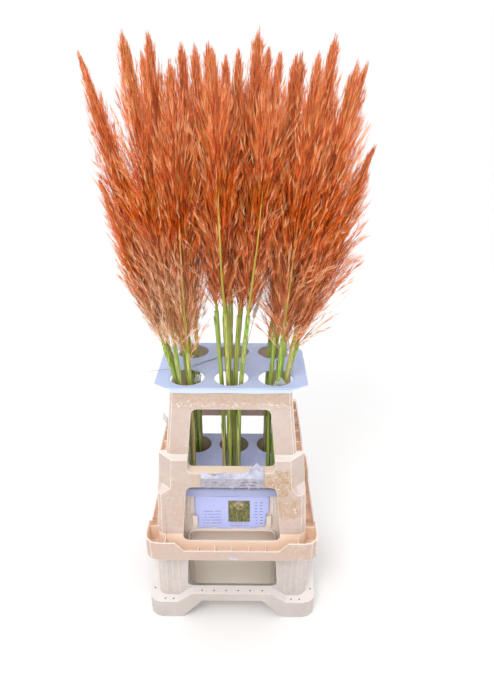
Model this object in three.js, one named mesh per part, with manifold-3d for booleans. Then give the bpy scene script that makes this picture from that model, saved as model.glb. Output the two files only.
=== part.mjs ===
// Cut pampas grass in a two-tier flower container.
//
// A cream base container holds a bucket of water. A beige upper frame is slipped over it and
// stands on its shoulder. A perforated plastic sheet lies on the rim of each tier and keeps the
// stems in six bunches, which fan out above into one feathery orange head.
//
// Millimetres, +Z up, +X to the right, -Y to the front. The origin is on the floor, under the
// centre of the six holes.

import * as THREE from 'three';
import { mergeVertices } from 'three/addons/utils/BufferGeometryUtils.js';
import Module from 'manifold-3d';

const wasm = await Module();
wasm.setup();

// ---------------------------------------------------------------- driving dimensions

const GAP = 0.3; // left between pieces that touch
const WALL = 4; // wall of the moulded tiers

const SHEET = {
  top: { upper: 690, lower: 385 }, // height of each sheet's upper face
  thickness: 3,
  foldX: 156,
  foldY: 131,
  flapReach: { upper: 190, lower: 181 }, // half-width over the side flaps
  flapDroop: { upper: 6, lower: 11 },
  cornerCutY: 97, // the side flaps' outer edges end here
  hangingFlap: { depth: 14, halfWidth: 150 }, // folded down at the front and the back
  holePitchX: 110,
  holeY: 75.4,
  holeRadius: 43,
};

// Both tiers have the same neck: a short collar, then a taper down to the shoulder.
const NECK = { height: 182, collar: 42, topHalfWidth: 150, collarHalfWidth: 152.6, footHalfWidth: 168.5 };
const DEPTH_LESS = 23; // a half-depth is this much less than its half-width

const UPPER = {
  rim: SHEET.top.upper - SHEET.thickness - GAP,
  foot: 212,
  // Heights and half-sizes of the skirt, whose chamfered corners end in a small facet.
  shoulder: { z: 505, halfWidth: 185, halfDepth: 169 },
  chamferEnd: { z: 420, halfWidth: 190.5, halfDepth: 173 },
  facetEnd: { z: 400, halfWidth: 192, halfDepth: 174 },
  footHalfWidth: 200.5,
  footHalfDepth: 177.5,
  chamfer: 36,
  channel: { depth: 20, inner: 165, halfLength: 124, ribPlaces: [-78, -26, 26, 78] },
  lip: {
    halfWidth: 230,
    halfDepth: 208,
    corner: 36,
    cornerTop: 270,
    middleTop: 243,
    dipRun: 25,
    dipHalf: { front: 124, side: 96 }, // half of the dip's flat bottom, on each face
    lowRibs: { x: [-90, -45, 0, 45, 90], y: [-64, 0, 64], drop: 13 },
    highRibs: { x: [-176, 176], y: [-132, 132], drop: 10 },
  },
};

const BASE = {
  rim: SHEET.top.lower - SHEET.thickness - GAP,
  shoulder: UPPER.foot - GAP,
  shoulderHalfWidth: 205,
  legHalfWidth: 206.5,
  flange: { halfWidth: 231, halfDepth: 208, corner: 36, cornerTop: 57, middleTop: 89 },
  arch: { height: 62, halfWidth: 83, halfDepth: 72, run: 57 }, // under each side of the skirt
  flat: { x: 108, y: 96 }, // half-width of the raised middle of the flange, on each face
  slopeRun: 42, // over which the flange drops to its corners
  flutePlaces: [-178, -161, -144, 144, 161, 178],
};

const RIB = 3; // thickness of the small ribs
const BEYOND = 250; // cutters run past every outer face

const BUCKET = {
  footRim: 18, // the ring under the bucket's floor ends here
  bottom: 42,
  topHalfWidth: 143,
  topHalfDepth: 120,
  bottomHalfWidth: 133,
  bottomHalfDepth: 110,
};
const WATER_LEVEL = 156;

// The card holder's two lips lap over the lower side edges of the label card.
const CARD = {
  halfWidth: 100,
  low: 261,
  high: 360,
  thickness: 0.9,
  sideCut: { width: 6, height: 26 }, // off its lower corners
  lipFrom: 268,
  lipTo: 306,
};
const TORN_PAPER = {
  from: -76,
  width: 158,
  low: 429,
  high: 462,
  thickness: 0.8,
  climb: 9, // of its upper edge, from one end to the other
  peak: { height: 32, at: 0.88, run: 0.18 }, // its place and half-width are shares of the width
  columns: 11,
  rows: 4,
};
const LOOSE_BLADE = {
  line: [[-31, 39], [-52, 24], [-78, 4], [-106, -20]],
  halfWidth: 1.6,
  thickness: 0.8,
  rings: 5,
};

const STEM = { footRadius: 6.4, topRadius: 5.4, sides: 6 };
const PLUME = {
  radius: 80,
  outline: { foot: 0.16, skew: 0.62, fullness: 0.9 },
  fullHeight: 580, // a shorter plume is slimmer too
  slimming: 1.3,
  whorlSpacing: 58,
  whorls: { from: 0.02, span: 0.86 }, // the share of the height that they take up
  tufts: 6, // in each whorl
  tuftRise: 84,
  riseLimit: 0.55, // of what is left of the plume above the whorl
  riseSpread: 0.2, // the share of its rise and of its reach by which one tuft differs from another
  reachSpread: 0.12,
  waistRise: 7,
  valleyShare: 0.52, // of the plume's reach, between two tufts
  valleyLimit: 1.5, // times the whorl's smallest reach
  waistShare: 0.55, // of the valleys' distance from the axis, just above each whorl
  margin: 0.9,
};

const COLOURS = {
  base: 0xe9dfda,
  upper: 0xe0c8ba,
  sheet: 0xbcc6f0,
  water: 0x9fb4b0,
  card: 0xc9cdf0,
  paper: 0xd3d3e8,
  stem: 0x8da64c,
  plume: 0xc4683a,
  sprig: 0xe8e4dc,
  blade: 0x8b8f6a,
};

// ---------------------------------------------------------------- general helpers

function toSolid(geometry) {
  const bare = new THREE.BufferGeometry();
  bare.setAttribute('position', geometry.getAttribute('position').clone());
  if (geometry.index) bare.setIndex(geometry.index.clone());
  const merged = mergeVertices(bare, 1e-4);
  return new wasm.Manifold(new wasm.Mesh({
    numProp: 3,
    vertProperties: new Float32Array(merged.getAttribute('position').array),
    triVerts: new Uint32Array(merged.index.array),
  }));
}

function toGeometry(solid) {
  const mesh = solid.getMesh();
  const geometry = new THREE.BufferGeometry();
  geometry.setAttribute('position', new THREE.BufferAttribute(new Float32Array(mesh.vertProperties), 3));
  geometry.setIndex(new THREE.BufferAttribute(new Uint32Array(mesh.triVerts), 1));
  geometry.computeVertexNormals();
  return geometry;
}

const fuse = (first, ...rest) => rest.reduce((whole, piece) => whole.add(piece), first);
const cut = (first, ...rest) => rest.reduce((whole, piece) => whole.subtract(piece), first);

// A closed body through rings of points, with the same count in each ring, listed upwards.
function loft(rings) {
  const count = rings[0].length;
  const positions = rings.flat().flatMap((p) => [p.x, p.y, p.z]);
  const faces = [];
  for (let level = 0; level + 1 < rings.length; level += 1) {
    for (let i = 0; i < count; i += 1) {
      const a = level * count + i;
      const b = level * count + ((i + 1) % count);
      faces.push(a, b, b + count, a, b + count, a + count);
    }
  }
  const top = (rings.length - 1) * count;
  for (let i = 1; i + 1 < count; i += 1) {
    faces.push(0, i + 1, i);
    faces.push(top, top + i, top + i + 1);
  }
  const geometry = new THREE.BufferGeometry();
  geometry.setAttribute('position', new THREE.Float32BufferAttribute(positions, 3));
  geometry.setIndex(faces);
  return geometry;
}

// A rounded or chamfered rectangle as a ring. bulge 0 gives chamfers, 1 gives round corners.
const CORNER_STEPS = 3;
function rectangleRing({ z, halfWidth, halfDepth, corner, bulge = 1 }) {
  const signs = [[1, 1], [-1, 1], [-1, -1], [1, -1]];
  return signs.flatMap(([sx, sy], quarter) => {
    const centre = new THREE.Vector3(sx * (halfWidth - corner), sy * (halfDepth - corner), z);
    const points = [];
    for (let step = 0; step <= CORNER_STEPS; step += 1) {
      const share = step / CORNER_STEPS;
      const angle = (quarter + share) * Math.PI / 2;
      const round = new THREE.Vector3(Math.cos(angle), Math.sin(angle), 0);
      const start = new THREE.Vector3(Math.cos(quarter * Math.PI / 2), Math.sin(quarter * Math.PI / 2), 0);
      const end = new THREE.Vector3(-start.y, start.x, 0);
      const straight = start.clone().lerp(end, share);
      points.push(centre.clone().addScaledVector(straight.lerp(round, bulge), corner));
    }
    return points;
  });
}

const block = (levels) => toSolid(loft(levels.map(rectangleRing)));

// The same levels drawn in by a wall, run past both ends so that they cut right through.
function drawnIn(levels, wall, past = 1) {
  const inner = levels.map((level) => ({
    ...level,
    halfWidth: level.halfWidth - wall,
    halfDepth: level.halfDepth - wall,
    corner: Math.max(level.corner - wall * 0.6, 1),
  }));
  inner.unshift({ ...inner[0], z: inner[0].z - past });
  inner.push({ ...inner[inner.length - 1], z: inner[inner.length - 1].z + past });
  return inner;
}

const shell = (levels) => cut(block(levels), block(drawnIn(levels, WALL)));

function box(x0, x1, y0, y1, z0, z1) {
  const geometry = new THREE.BoxGeometry(x1 - x0, y1 - y0, z1 - z0);
  geometry.translate((x0 + x1) / 2, (y0 + y1) / 2, (z0 + z1) / 2);
  return toSolid(geometry);
}

const mirrored = (make) => [1, -1].map(make);

const extrude = (shape, depth) => (
  new THREE.ExtrudeGeometry(shape, { depth, bevelEnabled: false, curveSegments: 4 })
);

// An outline in x and z, run along Y between two places.
function alongY(shape, from, to) {
  const geometry = extrude(shape, to - from);
  geometry.rotateX(Math.PI / 2);
  geometry.translate(0, to, 0);
  return toSolid(geometry);
}

// An outline in y and z, run along X between two places.
function alongX(shape, from, to) {
  const geometry = extrude(shape, to - from);
  geometry.rotateX(Math.PI / 2);
  geometry.rotateZ(Math.PI / 2);
  geometry.translate(from, 0, 0);
  return toSolid(geometry);
}

// A window outline that widens downwards, with round corners.
function windowShape({ low, high, lowHalf, highHalf, corner, grow = 0 }) {
  const corners = [
    new THREE.Vector2(-lowHalf - grow, low - grow),
    new THREE.Vector2(lowHalf + grow, low - grow),
    new THREE.Vector2(highHalf + grow, high + grow),
    new THREE.Vector2(-highHalf - grow, high + grow),
  ];
  const shape = new THREE.Shape();
  corners.forEach((point, i) => {
    const before = corners[(i + 3) % 4].clone().sub(point).setLength(corner + grow);
    const after = corners[(i + 1) % 4].clone().sub(point).setLength(corner + grow);
    const enter = point.clone().add(before);
    const leave = point.clone().add(after);
    if (i === 0) shape.moveTo(enter.x, enter.y);
    else shape.lineTo(enter.x, enter.y);
    shape.quadraticCurveTo(point.x, point.y, leave.x, leave.y);
  });
  shape.closePath();
  return shape;
}

function polygon(points) {
  return new THREE.Shape(points.map(([u, v]) => new THREE.Vector2(u, v)));
}

// A flat-topped hump: the outline under a raised middle that slopes down to both sides.
function hump({ reach, flat, run, low, high, floor }) {
  return polygon([
    [-reach, floor], [reach, floor], [reach, low], [flat + run, low],
    [flat, high], [-flat, high], [-flat - run, low], [-reach, low],
  ]);
}

// ---------------------------------------------------------------- the two moulded tiers

function neckLevels(rim) {
  const { height, collar, topHalfWidth, collarHalfWidth, footHalfWidth } = NECK;
  const level = (drop, halfWidth) => ({
    z: rim - drop, halfWidth, halfDepth: halfWidth - DEPTH_LESS, corner: 16,
  });
  return [level(height, footHalfWidth), level(collar, collarHalfWidth), level(0, topHalfWidth)];
}

const NECK_FACE_AT_SHOULDER = NECK.footHalfWidth - DEPTH_LESS;

const UPPER_WINDOWS = {
  neck: { low: 468, high: 630, lowHalf: 112, highHalf: 98, corner: 16 },
  neckSide: { low: 522, high: 630, lowHalf: 84, highHalf: 76, corner: 16 },
  skirt: { low: 250, high: 425, lowHalf: 130, highHalf: 115, corner: 20 },
  skirtSide: { low: 250, high: 425, lowHalf: 106, highHalf: 92, corner: 20 },
};

function upperSkirtLevels() {
  const { shoulder, chamferEnd, facetEnd, footHalfWidth, footHalfDepth, chamfer } = UPPER;
  return [
    { z: UPPER.foot, halfWidth: footHalfWidth, halfDepth: footHalfDepth, corner: 26 },
    { ...facetEnd, corner: 22 },
    { ...chamferEnd, corner: chamfer, bulge: 0 },
    { ...shoulder, corner: chamfer, bulge: 0 },
  ];
}

const inOrder = (a, b) => [Math.min(a, b), Math.max(a, b)];

// The shoulder is a flat ledge at the front and back, and a ribbed channel along each side.
function shoulder() {
  const { channel, chamfer } = UPPER;
  const { z, halfWidth, halfDepth } = UPPER.shoulder;
  const level = (height) => ({ z: height, halfWidth, halfDepth, corner: chamfer, bulge: 0 });
  const plate = block([level(z - channel.depth - WALL), level(z)]);
  const wallInside = halfWidth - WALL;
  const underside = box(-channel.inner, channel.inner, -halfDepth + WALL, halfDepth - WALL, 0, z - WALL);
  const pockets = mirrored((side) => {
    const [from, to] = inOrder(side * channel.inner, side * wallInside);
    return box(from, to, -channel.halfLength, channel.halfLength, z - channel.depth, z + 1);
  });
  const ribs = mirrored((side) => {
    const [from, to] = inOrder(side * (channel.inner - 1), side * (wallInside + 1));
    return fuse(...channel.ribPlaces.map((y) => (
      box(from, to, y - RIB / 2, y + RIB / 2, z - channel.depth - 1, z - RIB)
    )));
  });
  const cornerHollows = mirrored((side) => {
    const [from, to] = inOrder(side * (channel.inner - 2), side * (wallInside - 3));
    const [near, far] = [channel.halfLength + WALL, halfDepth - chamfer * 0.66];
    return fuse(box(from, to, -far, -near, 0, z - WALL), box(from, to, near, far, 0, z - WALL));
  });
  return fuse(cut(plate, underside, ...pockets, ...cornerHollows), ...ribs);
}

// The throat joins the neck's window to the skirt round the window's lower edge.
function throat(side) {
  const inner = side * (NECK_FACE_AT_SHOULDER - WALL - 2);
  const outer = side * (UPPER.shoulder.halfDepth + WALL);
  const collar = alongY(windowShape({ ...UPPER_WINDOWS.neck, grow: WALL }), ...inOrder(inner, outer));
  const belowShoulder = block([UPPER.facetEnd, UPPER.shoulder].map((level) => ({ ...level, corner: 4 })));
  return collar.intersect(belowShoulder);
}

// The flange round the foot is a channel, which dips in the middle of each side, with ribs in it.
function upperLipChannel() {
  const { foot, footHalfWidth, footHalfDepth, lip } = UPPER;
  const outer = (z) => ({ z, halfWidth: lip.halfWidth, halfDepth: lip.halfDepth, corner: lip.corner });
  const tray = block([outer(foot), outer(lip.cornerTop)]);
  const pocket = block(drawnIn([outer(foot + WALL + 1), outer(lip.cornerTop)], WALL));
  const dip = (flat) => polygon([
    [-flat - lip.dipRun, lip.cornerTop + 1], [-flat, lip.middleTop], [flat, lip.middleTop],
    [flat + lip.dipRun, lip.cornerTop + 1],
  ]);
  const channel = cut(
    tray,
    pocket,
    alongY(dip(lip.dipHalf.front), -BEYOND, BEYOND),
    alongX(dip(lip.dipHalf.side), -BEYOND, BEYOND),
  );
  const ribs = [];
  const across = (x, side, top) => {
    const [from, to] = inOrder(side * (footHalfDepth - WALL + 1), side * (lip.halfDepth - 1));
    ribs.push(box(x - RIB / 2, x + RIB / 2, from, to, foot + 1, top));
  };
  const along = (y, side, top) => {
    const [from, to] = inOrder(side * (footHalfWidth - WALL + 1), side * (lip.halfWidth - 1));
    ribs.push(box(from, to, y - RIB / 2, y + RIB / 2, foot + 1, top));
  };
  for (const side of [1, -1]) {
    for (const [places, rim] of [[lip.lowRibs, lip.middleTop], [lip.highRibs, lip.cornerTop]]) {
      for (const x of places.x) across(x, side, rim - places.drop);
      for (const y of places.y) along(y, side, rim - places.drop);
    }
  }
  const skirtInside = (z) => ({
    z, halfWidth: footHalfWidth - WALL, halfDepth: footHalfDepth - WALL, corner: 22,
  });
  return cut(fuse(channel, ...ribs), block([skirtInside(foot - 1), skirtInside(lip.cornerTop + 1)]));
}

function upperFrame() {
  const skirtLevels = upperSkirtLevels();
  const neck = neckLevels(UPPER.rim);
  neck[0].z = UPPER.shoulder.z - UPPER.channel.depth - WALL;
  const neckInside = block(drawnIn(neck, WALL));
  const skirtInside = block(drawnIn(skirtLevels, WALL, 0));
  const { neck: front, neckSide, skirt, skirtSide } = UPPER_WINDOWS;
  const frontWindow = alongY(windowShape(front), -BEYOND, BEYOND);
  const frame = fuse(
    shell(neck),
    shell(skirtLevels),
    cut(shoulder(), neckInside),
    cut(upperLipChannel(), skirtInside),
  );
  const withThroats = fuse(cut(frame, frontWindow), cut(fuse(...mirrored(throat)), frontWindow));
  // The skirt's windows stop short of the flange's outer wall, which runs on below them.
  const nearLip = { x: UPPER.lip.halfWidth - 6, y: UPPER.lip.halfDepth - 6 };
  return cut(
    withThroats,
    alongX(windowShape(neckSide), -BEYOND, BEYOND),
    alongY(windowShape(skirt), -nearLip.y, nearLip.y),
    alongX(windowShape(skirtSide), -nearLip.x, nearLip.x),
  );
}

const WINDOW_RIM = 5; // stands proud round the upper edge of the base's front window
const BASE_WINDOWS = {
  face: { low: 89, high: 255, lowHalf: 124, highHalf: 114, corner: 18 },
  flank: { low: 89, high: 200, lowHalf: 100, highHalf: 96, corner: 18 },
};

function baseFlange() {
  const { flange, flat, slopeRun, arch } = BASE;
  const { halfWidth, halfDepth, corner } = flange;
  const ground = (z) => ({ z, halfWidth, halfDepth, corner });
  const levels = [ground(0), ground(flange.middleTop)];
  // The flange's top is flat in the middle of each side and slopes down to the corners.
  const under = (half, drop) => hump({
    reach: BEYOND, flat: half, run: slopeRun, floor: -2,
    low: flange.cornerTop - drop, high: flange.middleTop - drop,
  });
  const humped = (outline, drop) => block(outline).intersect(
    fuse(alongY(under(flat.x, drop), -BEYOND, BEYOND), alongX(under(flat.y, drop), -BEYOND, BEYOND)),
  );
  const archOf = (half) => polygon([
    [-half - arch.run, -1], [half + arch.run, -1], [half, arch.height], [-half, arch.height],
  ]);
  const well = block([-1, flange.middleTop + 1].map((z) => ({
    z,
    halfWidth: BASE.legHalfWidth - WALL,
    halfDepth: BASE.legHalfWidth - DEPTH_LESS - WALL,
    corner: 22,
  })));
  return cut(
    humped(levels, 0),
    humped(drawnIn(levels, WALL), WALL),
    well,
    alongY(archOf(arch.halfWidth), -BEYOND, BEYOND),
    alongX(archOf(arch.halfDepth), -BEYOND, BEYOND),
  );
}

function cardHolder() {
  const post = { from: -NECK_FACE_AT_SHOULDER + 1, to: -NECK_FACE_AT_SHOULDER + 15 };
  const lip = { thickness: 2, overCard: 8, width: 14 };
  return fuse(...mirrored((side) => {
    const outer = side * (CARD.halfWidth - lip.overCard + lip.width);
    const [postFrom, postTo] = inOrder(side * (CARD.halfWidth + 1), outer);
    const [lipFrom, lipTo] = inOrder(side * (CARD.halfWidth - lip.overCard), outer);
    return fuse(
      box(postFrom, postTo, post.from, post.to, CARD.lipFrom, CARD.lipTo),
      box(lipFrom, lipTo, post.from, post.from + lip.thickness, CARD.lipFrom, CARD.lipTo),
    );
  }));
}

function baseContainer() {
  const neck = neckLevels(BASE.rim);
  neck[0].z = BASE.shoulder - WALL;
  const legLevel = (z, halfWidth) => ({ z, halfWidth, halfDepth: halfWidth - DEPTH_LESS, corner: 26 });
  const legs = [
    legLevel(BASE.flange.cornerTop - WALL, BASE.legHalfWidth),
    legLevel(BASE.shoulder, BASE.shoulderHalfWidth),
  ];
  const neckInside = block(drawnIn(neck, WALL));
  const shoulderPlate = cut(block([{ ...legs[1], z: BASE.shoulder - WALL }, legs[1]]), neckInside);
  const face = BASE.legHalfWidth - DEPTH_LESS;
  const flutes = mirrored((side) => {
    const [from, to] = inOrder(side * (face - 3), side * (face + 1.6));
    return fuse(...BASE.flutePlaces.map((x) => box(x - 2, x + 2, from, to, 70, BASE.shoulder - WALL)));
  });
  const frame = fuse(shell(neck), shell(legs), shoulderPlate, baseFlange(), ...flutes);
  const raisedRim = alongY(windowShape({ ...BASE_WINDOWS.face, grow: WINDOW_RIM }), -150, -132)
    .subtract(box(-BEYOND, BEYOND, -BEYOND, BEYOND, 0, BASE.shoulder - 1))
    .intersect(block(drawnIn(neck, -6, 0)))
    .subtract(neckInside);
  const windowed = cut(
    fuse(frame, raisedRim),
    alongY(windowShape(BASE_WINDOWS.face), -BEYOND, BEYOND),
    alongX(windowShape(BASE_WINDOWS.flank), -BEYOND, BEYOND),
  );
  return fuse(windowed, cardHolder(), bucket());
}

const bucketLevel = (z, inset = 0) => {
  const share = (z - BUCKET.bottom) / (BASE.rim - BUCKET.bottom);
  const mix = THREE.MathUtils.lerp;
  return {
    z,
    halfWidth: mix(BUCKET.bottomHalfWidth, BUCKET.topHalfWidth, share) - inset,
    halfDepth: mix(BUCKET.bottomHalfDepth, BUCKET.topHalfDepth, share) - inset,
    corner: 24 - inset / 2,
  };
};

function bucket() {
  const { rim } = BASE;
  const rimPlate = cut(
    block([rim - WALL, rim].map((z) => ({
      z, halfWidth: NECK.topHalfWidth - 1, halfDepth: NECK.topHalfWidth - DEPTH_LESS - 1, corner: 16,
    }))),
    block([bucketLevel(rim - WALL - 1, WALL), bucketLevel(rim + 1, WALL)]),
  );
  const wall = cut(
    block([bucketLevel(BUCKET.bottom), bucketLevel(rim)]),
    block([bucketLevel(BUCKET.bottom + WALL, WALL), bucketLevel(rim + 1, WALL)]),
  );
  const footRing = cut(
    block([bucketLevel(BUCKET.footRim), bucketLevel(BUCKET.bottom + 1)]),
    block([bucketLevel(BUCKET.footRim - 1, WALL), bucketLevel(BUCKET.bottom + 2, WALL)]),
  );
  return fuse(wall, rimPlate, footRing);
}

// ---------------------------------------------------------------- stem sheets

const HOLE_SIDES = 20;

function stemSheet(tier) {
  const top = SHEET.top[tier];
  const { thickness, foldX, foldY, hangingFlap, cornerCutY } = SHEET;
  const reach = SHEET.flapReach[tier];
  const droop = SHEET.flapDroop[tier];
  const profile = polygon([
    [-reach, top - droop - thickness], [-foldX, top - thickness], [foldX, top - thickness],
    [reach, top - droop - thickness], [reach, top - droop], [foldX, top], [-foldX, top],
    [-reach, top - droop],
  ]);
  const board = alongY(profile, -foldY, foldY);
  const hanging = mirrored((side) => {
    const [from, to] = inOrder(side * (foldY - thickness), side * foldY);
    return box(-hangingFlap.halfWidth, hangingFlap.halfWidth, from, to, top - hangingFlap.depth, top - 1);
  });
  // Each side flap narrows from the fold to its outer edge, past which the cutter runs a little.
  const past = 1;
  const corners = mirrored((x) => fuse(...mirrored((y) => {
    const outline = polygon([
      [x * (foldX - thickness), y * (foldY + past)], [x * (foldX - thickness), y * (foldY - thickness)],
      [x * (reach + past), y * cornerCutY], [x * (reach + past), y * (foldY + past)],
    ]);
    const prism = extrude(outline, 2 * BEYOND);
    prism.translate(0, 0, top - BEYOND);
    return toSolid(prism);
  })));
  const holes = [-SHEET.holePitchX, 0, SHEET.holePitchX].flatMap((x) => mirrored((side) => {
    const hole = new THREE.CylinderGeometry(SHEET.holeRadius, SHEET.holeRadius, 2 * BEYOND, HOLE_SIDES);
    hole.rotateX(Math.PI / 2);
    hole.translate(x, side * SHEET.holeY, top);
    return toSolid(hole);
  }));
  return cut(fuse(board, ...hanging), ...corners, ...holes);
}

// ---------------------------------------------------------------- paper

// The card leans on the neck of the base, a little off its face at the top.
function labelCard() {
  const { halfWidth, low, high, thickness, sideCut } = CARD;
  const [faceAtTop, leanOut] = [-129.6, 10.2];
  const cardFace = (z) => faceAtTop - leanOut * ((high - z) / (high - low));
  const outline = polygon([
    [-halfWidth + sideCut.width, low], [halfWidth - sideCut.width, low], [halfWidth, low + sideCut.height],
    [halfWidth, high], [-halfWidth, high], [-halfWidth, low + sideCut.height],
  ]);
  const geometry = extrude(outline, thickness);
  geometry.rotateX(Math.PI / 2);
  const position = geometry.getAttribute('position');
  for (let i = 0; i < position.count; i += 1) {
    position.setY(i, position.getY(i) + cardFace(position.getZ(i)));
  }
  return toSolid(geometry);
}

// How far the strip's edges wander, and how far it stands off where it is creased, along its
// width u and its height v.
const raggedness = (u) => 3 * Math.sin(u * 23) + 2 * Math.sin(u * 51);
const creaseHeight = (u, v) => 2.2 + 2 * Math.sin(u * 17 + v * 4) * Math.sin(v * 7 + u * 3);

// A crumpled strip: a grid with shallow creases, a ragged edge, and one corner up in a peak.
function tornPaper() {
  const { from, width, low, high, climb, peak, thickness, columns, rows } = TORN_PAPER;
  const { chamferEnd, shoulder: top } = UPPER;
  const skirtFace = (z) => (
    THREE.MathUtils.mapLinear(z, chamferEnd.z, top.z, chamferEnd.halfDepth, top.halfDepth)
  );
  const place = (u, v) => {
    const ragged = raggedness(u);
    const peakHere = peak.height * Math.max(0, 1 - Math.abs(u - peak.at) / peak.run);
    const upperEdge = high + climb * u + peakHere + ragged;
    const z = THREE.MathUtils.lerp(low + Math.abs(ragged) / 2, upperEdge, v);
    return new THREE.Vector3(from + width * u, -skirtFace(z) - GAP - creaseHeight(u, v), z);
  };
  const steps = (count) => Array.from({ length: count + 1 }, (_, i) => i / count);
  const grid = steps(columns).map((u) => steps(rows).map((v) => place(u, v)));
  return toSolid(thinSheet(grid, new THREE.Vector3(0, -thickness, 0)));
}

// A closed body between a grid of points and the same grid moved out by its thickness. Both
// faces are split along the same diagonals, so they stay parallel however much they wave.
function thinSheet(grid, out) {
  const inner = grid.flat();
  const outer = inner.map((point) => point.clone().add(out));
  const perColumn = grid[0].length;
  const moved = inner.length;
  const faces = [];
  const edge = [];
  for (let column = 0; column + 1 < grid.length; column += 1) {
    for (let row = 0; row + 1 < perColumn; row += 1) {
      const a = column * perColumn + row;
      const b = a + perColumn;
      faces.push(a, b + 1, b, a, a + 1, b + 1);
      faces.push(moved + a, moved + b, moved + b + 1, moved + a, moved + b + 1, moved + a + 1);
    }
  }
  const lastColumn = (grid.length - 1) * perColumn;
  for (let column = 0; column + 1 < grid.length; column += 1) edge.push(column * perColumn);
  for (let row = 0; row + 1 < perColumn; row += 1) edge.push(lastColumn + row);
  for (let column = grid.length - 1; column > 0; column -= 1) edge.push((column + 1) * perColumn - 1);
  for (let row = perColumn - 1; row > 0; row -= 1) edge.push(row);
  edge.forEach((p, i) => {
    const q = edge[(i + 1) % edge.length];
    faces.push(moved + q, moved + p, p, moved + q, p, q);
  });
  const geometry = new THREE.BufferGeometry();
  const positions = [...inner, ...outer].flatMap((p) => [p.x, p.y, p.z]);
  geometry.setAttribute('position', new THREE.Float32BufferAttribute(positions, 3));
  geometry.setIndex(faces);
  return geometry;
}

// ---------------------------------------------------------------- stems and plumes

// Each stem: its place in the hole and its plume's tip. A bunch's plumes start at one height,
// give or take a little; drop is how much lower one starts, and girth is how stout it is.
const BUNCHES = {
  front_left: {
    x: -SHEET.holePitchX,
    y: -SHEET.holeY,
    foot: 776,
    stems: [
      { at: [-29.5, 12], tip: [-296, -60, 1408], girth: 0.72 },
      { at: [-15, -22], tip: [-187, -155, 1436] },
      { at: [-3, 20], tip: [-160, -36, 1446] },
      { at: [-28, -8], tip: [-266, -118, 1172], girth: 0.78 },
      { at: [8, -22], tip: [-102, -165, 1389] },
    ],
  },
  back_left: {
    x: -SHEET.holePitchX,
    y: SHEET.holeY,
    foot: 768,
    stems: [
      { at: [-24, -2], tip: [-304, 55, 1290], girth: 0.72 },
      { at: [12, -8], tip: [-102, 36, 1430] },
      { at: [-10, 22], tip: [-206, 136, 1418] },
    ],
  },
  front_middle: {
    x: 0,
    y: -SHEET.holeY,
    foot: 872,
    stems: [
      { at: [-24, -10], tip: [-62, -100, 1416] },
      { at: [-7, -26], tip: [-24, -185, 1407] },
      { at: [10, -3], tip: [60, -104, 1443] },
      { at: [-6, 14], tip: [20, -14, 1414] },
      { at: [25, -20], tip: [98, -178, 1400] },
    ],
  },
  back_middle: {
    x: 0,
    y: SHEET.holeY,
    foot: 840,
    stems: [
      { at: [-12, -12], tip: [-48, 62, 1431] },
      { at: [-8, 26], tip: [-14, 160, 1412] },
      { at: [12, 2], tip: [84, 84, 1423] },
    ],
  },
  front_right: {
    x: SHEET.holePitchX,
    y: -SHEET.holeY,
    foot: 800,
    stems: [
      { at: [-10, 4], tip: [134, -76, 1402] },
      { at: [4, -22], tip: [168, -172, 1400] },
      { at: [12, 8], tip: [212, -52, 1438] },
      { at: [25, -14], tip: [244, -140, 1388], drop: 12 },
      { at: [30, 17], tip: [303, -78, 1236], girth: 1.15, drop: 22 },
    ],
  },
  back_right: {
    x: SHEET.holePitchX,
    y: SHEET.holeY,
    foot: 776,
    stems: [
      { at: [-12, 0], tip: [152, 26, 1410] },
      { at: [6, 18], tip: [232, 134, 1380] },
      { at: [23, -4], tip: [296, 40, 1396] },
    ],
  },
};

// The sprig's head is a chain of small swellings: heights over its foot, and radii.
const SPRIG = {
  at: [32, 62],
  foot: 800,
  tip: [90, 42, 930],
  radius: 1.6,
  clearance: 9,
  roomTo: 960, // the plumes leave room for it up to here
  head: [[-4, 1.7], [14, 6.5], [36, 4.5], [62, 7.5], [96, 4.5], [130, 0.8]],
};
const FOOT_WANDER = 14; // by which the feet of one bunch's plumes differ

const BEND_SHARE = 0.15; // of the lean that comes in gradually towards the tip
const SETTLE_DEPTH = 100; // below the upper sheet, over which the lean dies away
const STRAIGHT_BELOW = 170; // in the water, stems stand upright

// Where a stem or its plume is at a height.
function axisAt(plant, z) {
  const sheet = SHEET.top.upper;
  const lean = [0, 1].map((i) => plant.tip[i] - plant.at[i]);
  const height = plant.tip[2] - sheet;
  const rise = Math.max(z, STRAIGHT_BELOW) - sheet;
  const share = rise >= 0
    ? (1 - BEND_SHARE) * (rise / height) + BEND_SHARE * (rise / height) ** 2
    : (1 - BEND_SHARE) * (SETTLE_DEPTH / height) * (Math.exp(rise / SETTLE_DEPTH) - 1);
  return new THREE.Vector2(plant.at[0] + lean[0] * share, plant.at[1] + lean[1] * share);
}

function listPlants() {
  const plants = [];
  for (const [bunch, { x, y, foot, stems }] of Object.entries(BUNCHES)) {
    stems.forEach(({ at, tip, girth = 1, drop = 0 }, i) => {
      plants.push({
        name: `${bunch}_${i + 1}`,
        at: [x + at[0], y + at[1]],
        foot: foot - drop + FOOT_WANDER * Math.sin(i * 2.4),
        tip,
        girth,
      });
    });
  }
  return plants;
}

const PLANTS = listPlants();
const NEIGHBOURS = [...PLANTS, SPRIG];

// The plume's outline: narrow at the foot, widest a third of the way up, pointed at the tip.
function plumeRadius(share) {
  const { foot, skew, fullness } = PLUME.outline;
  return PLUME.radius * (foot * (1 - share) + Math.sin(Math.PI * share ** skew) ** fullness);
}

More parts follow.
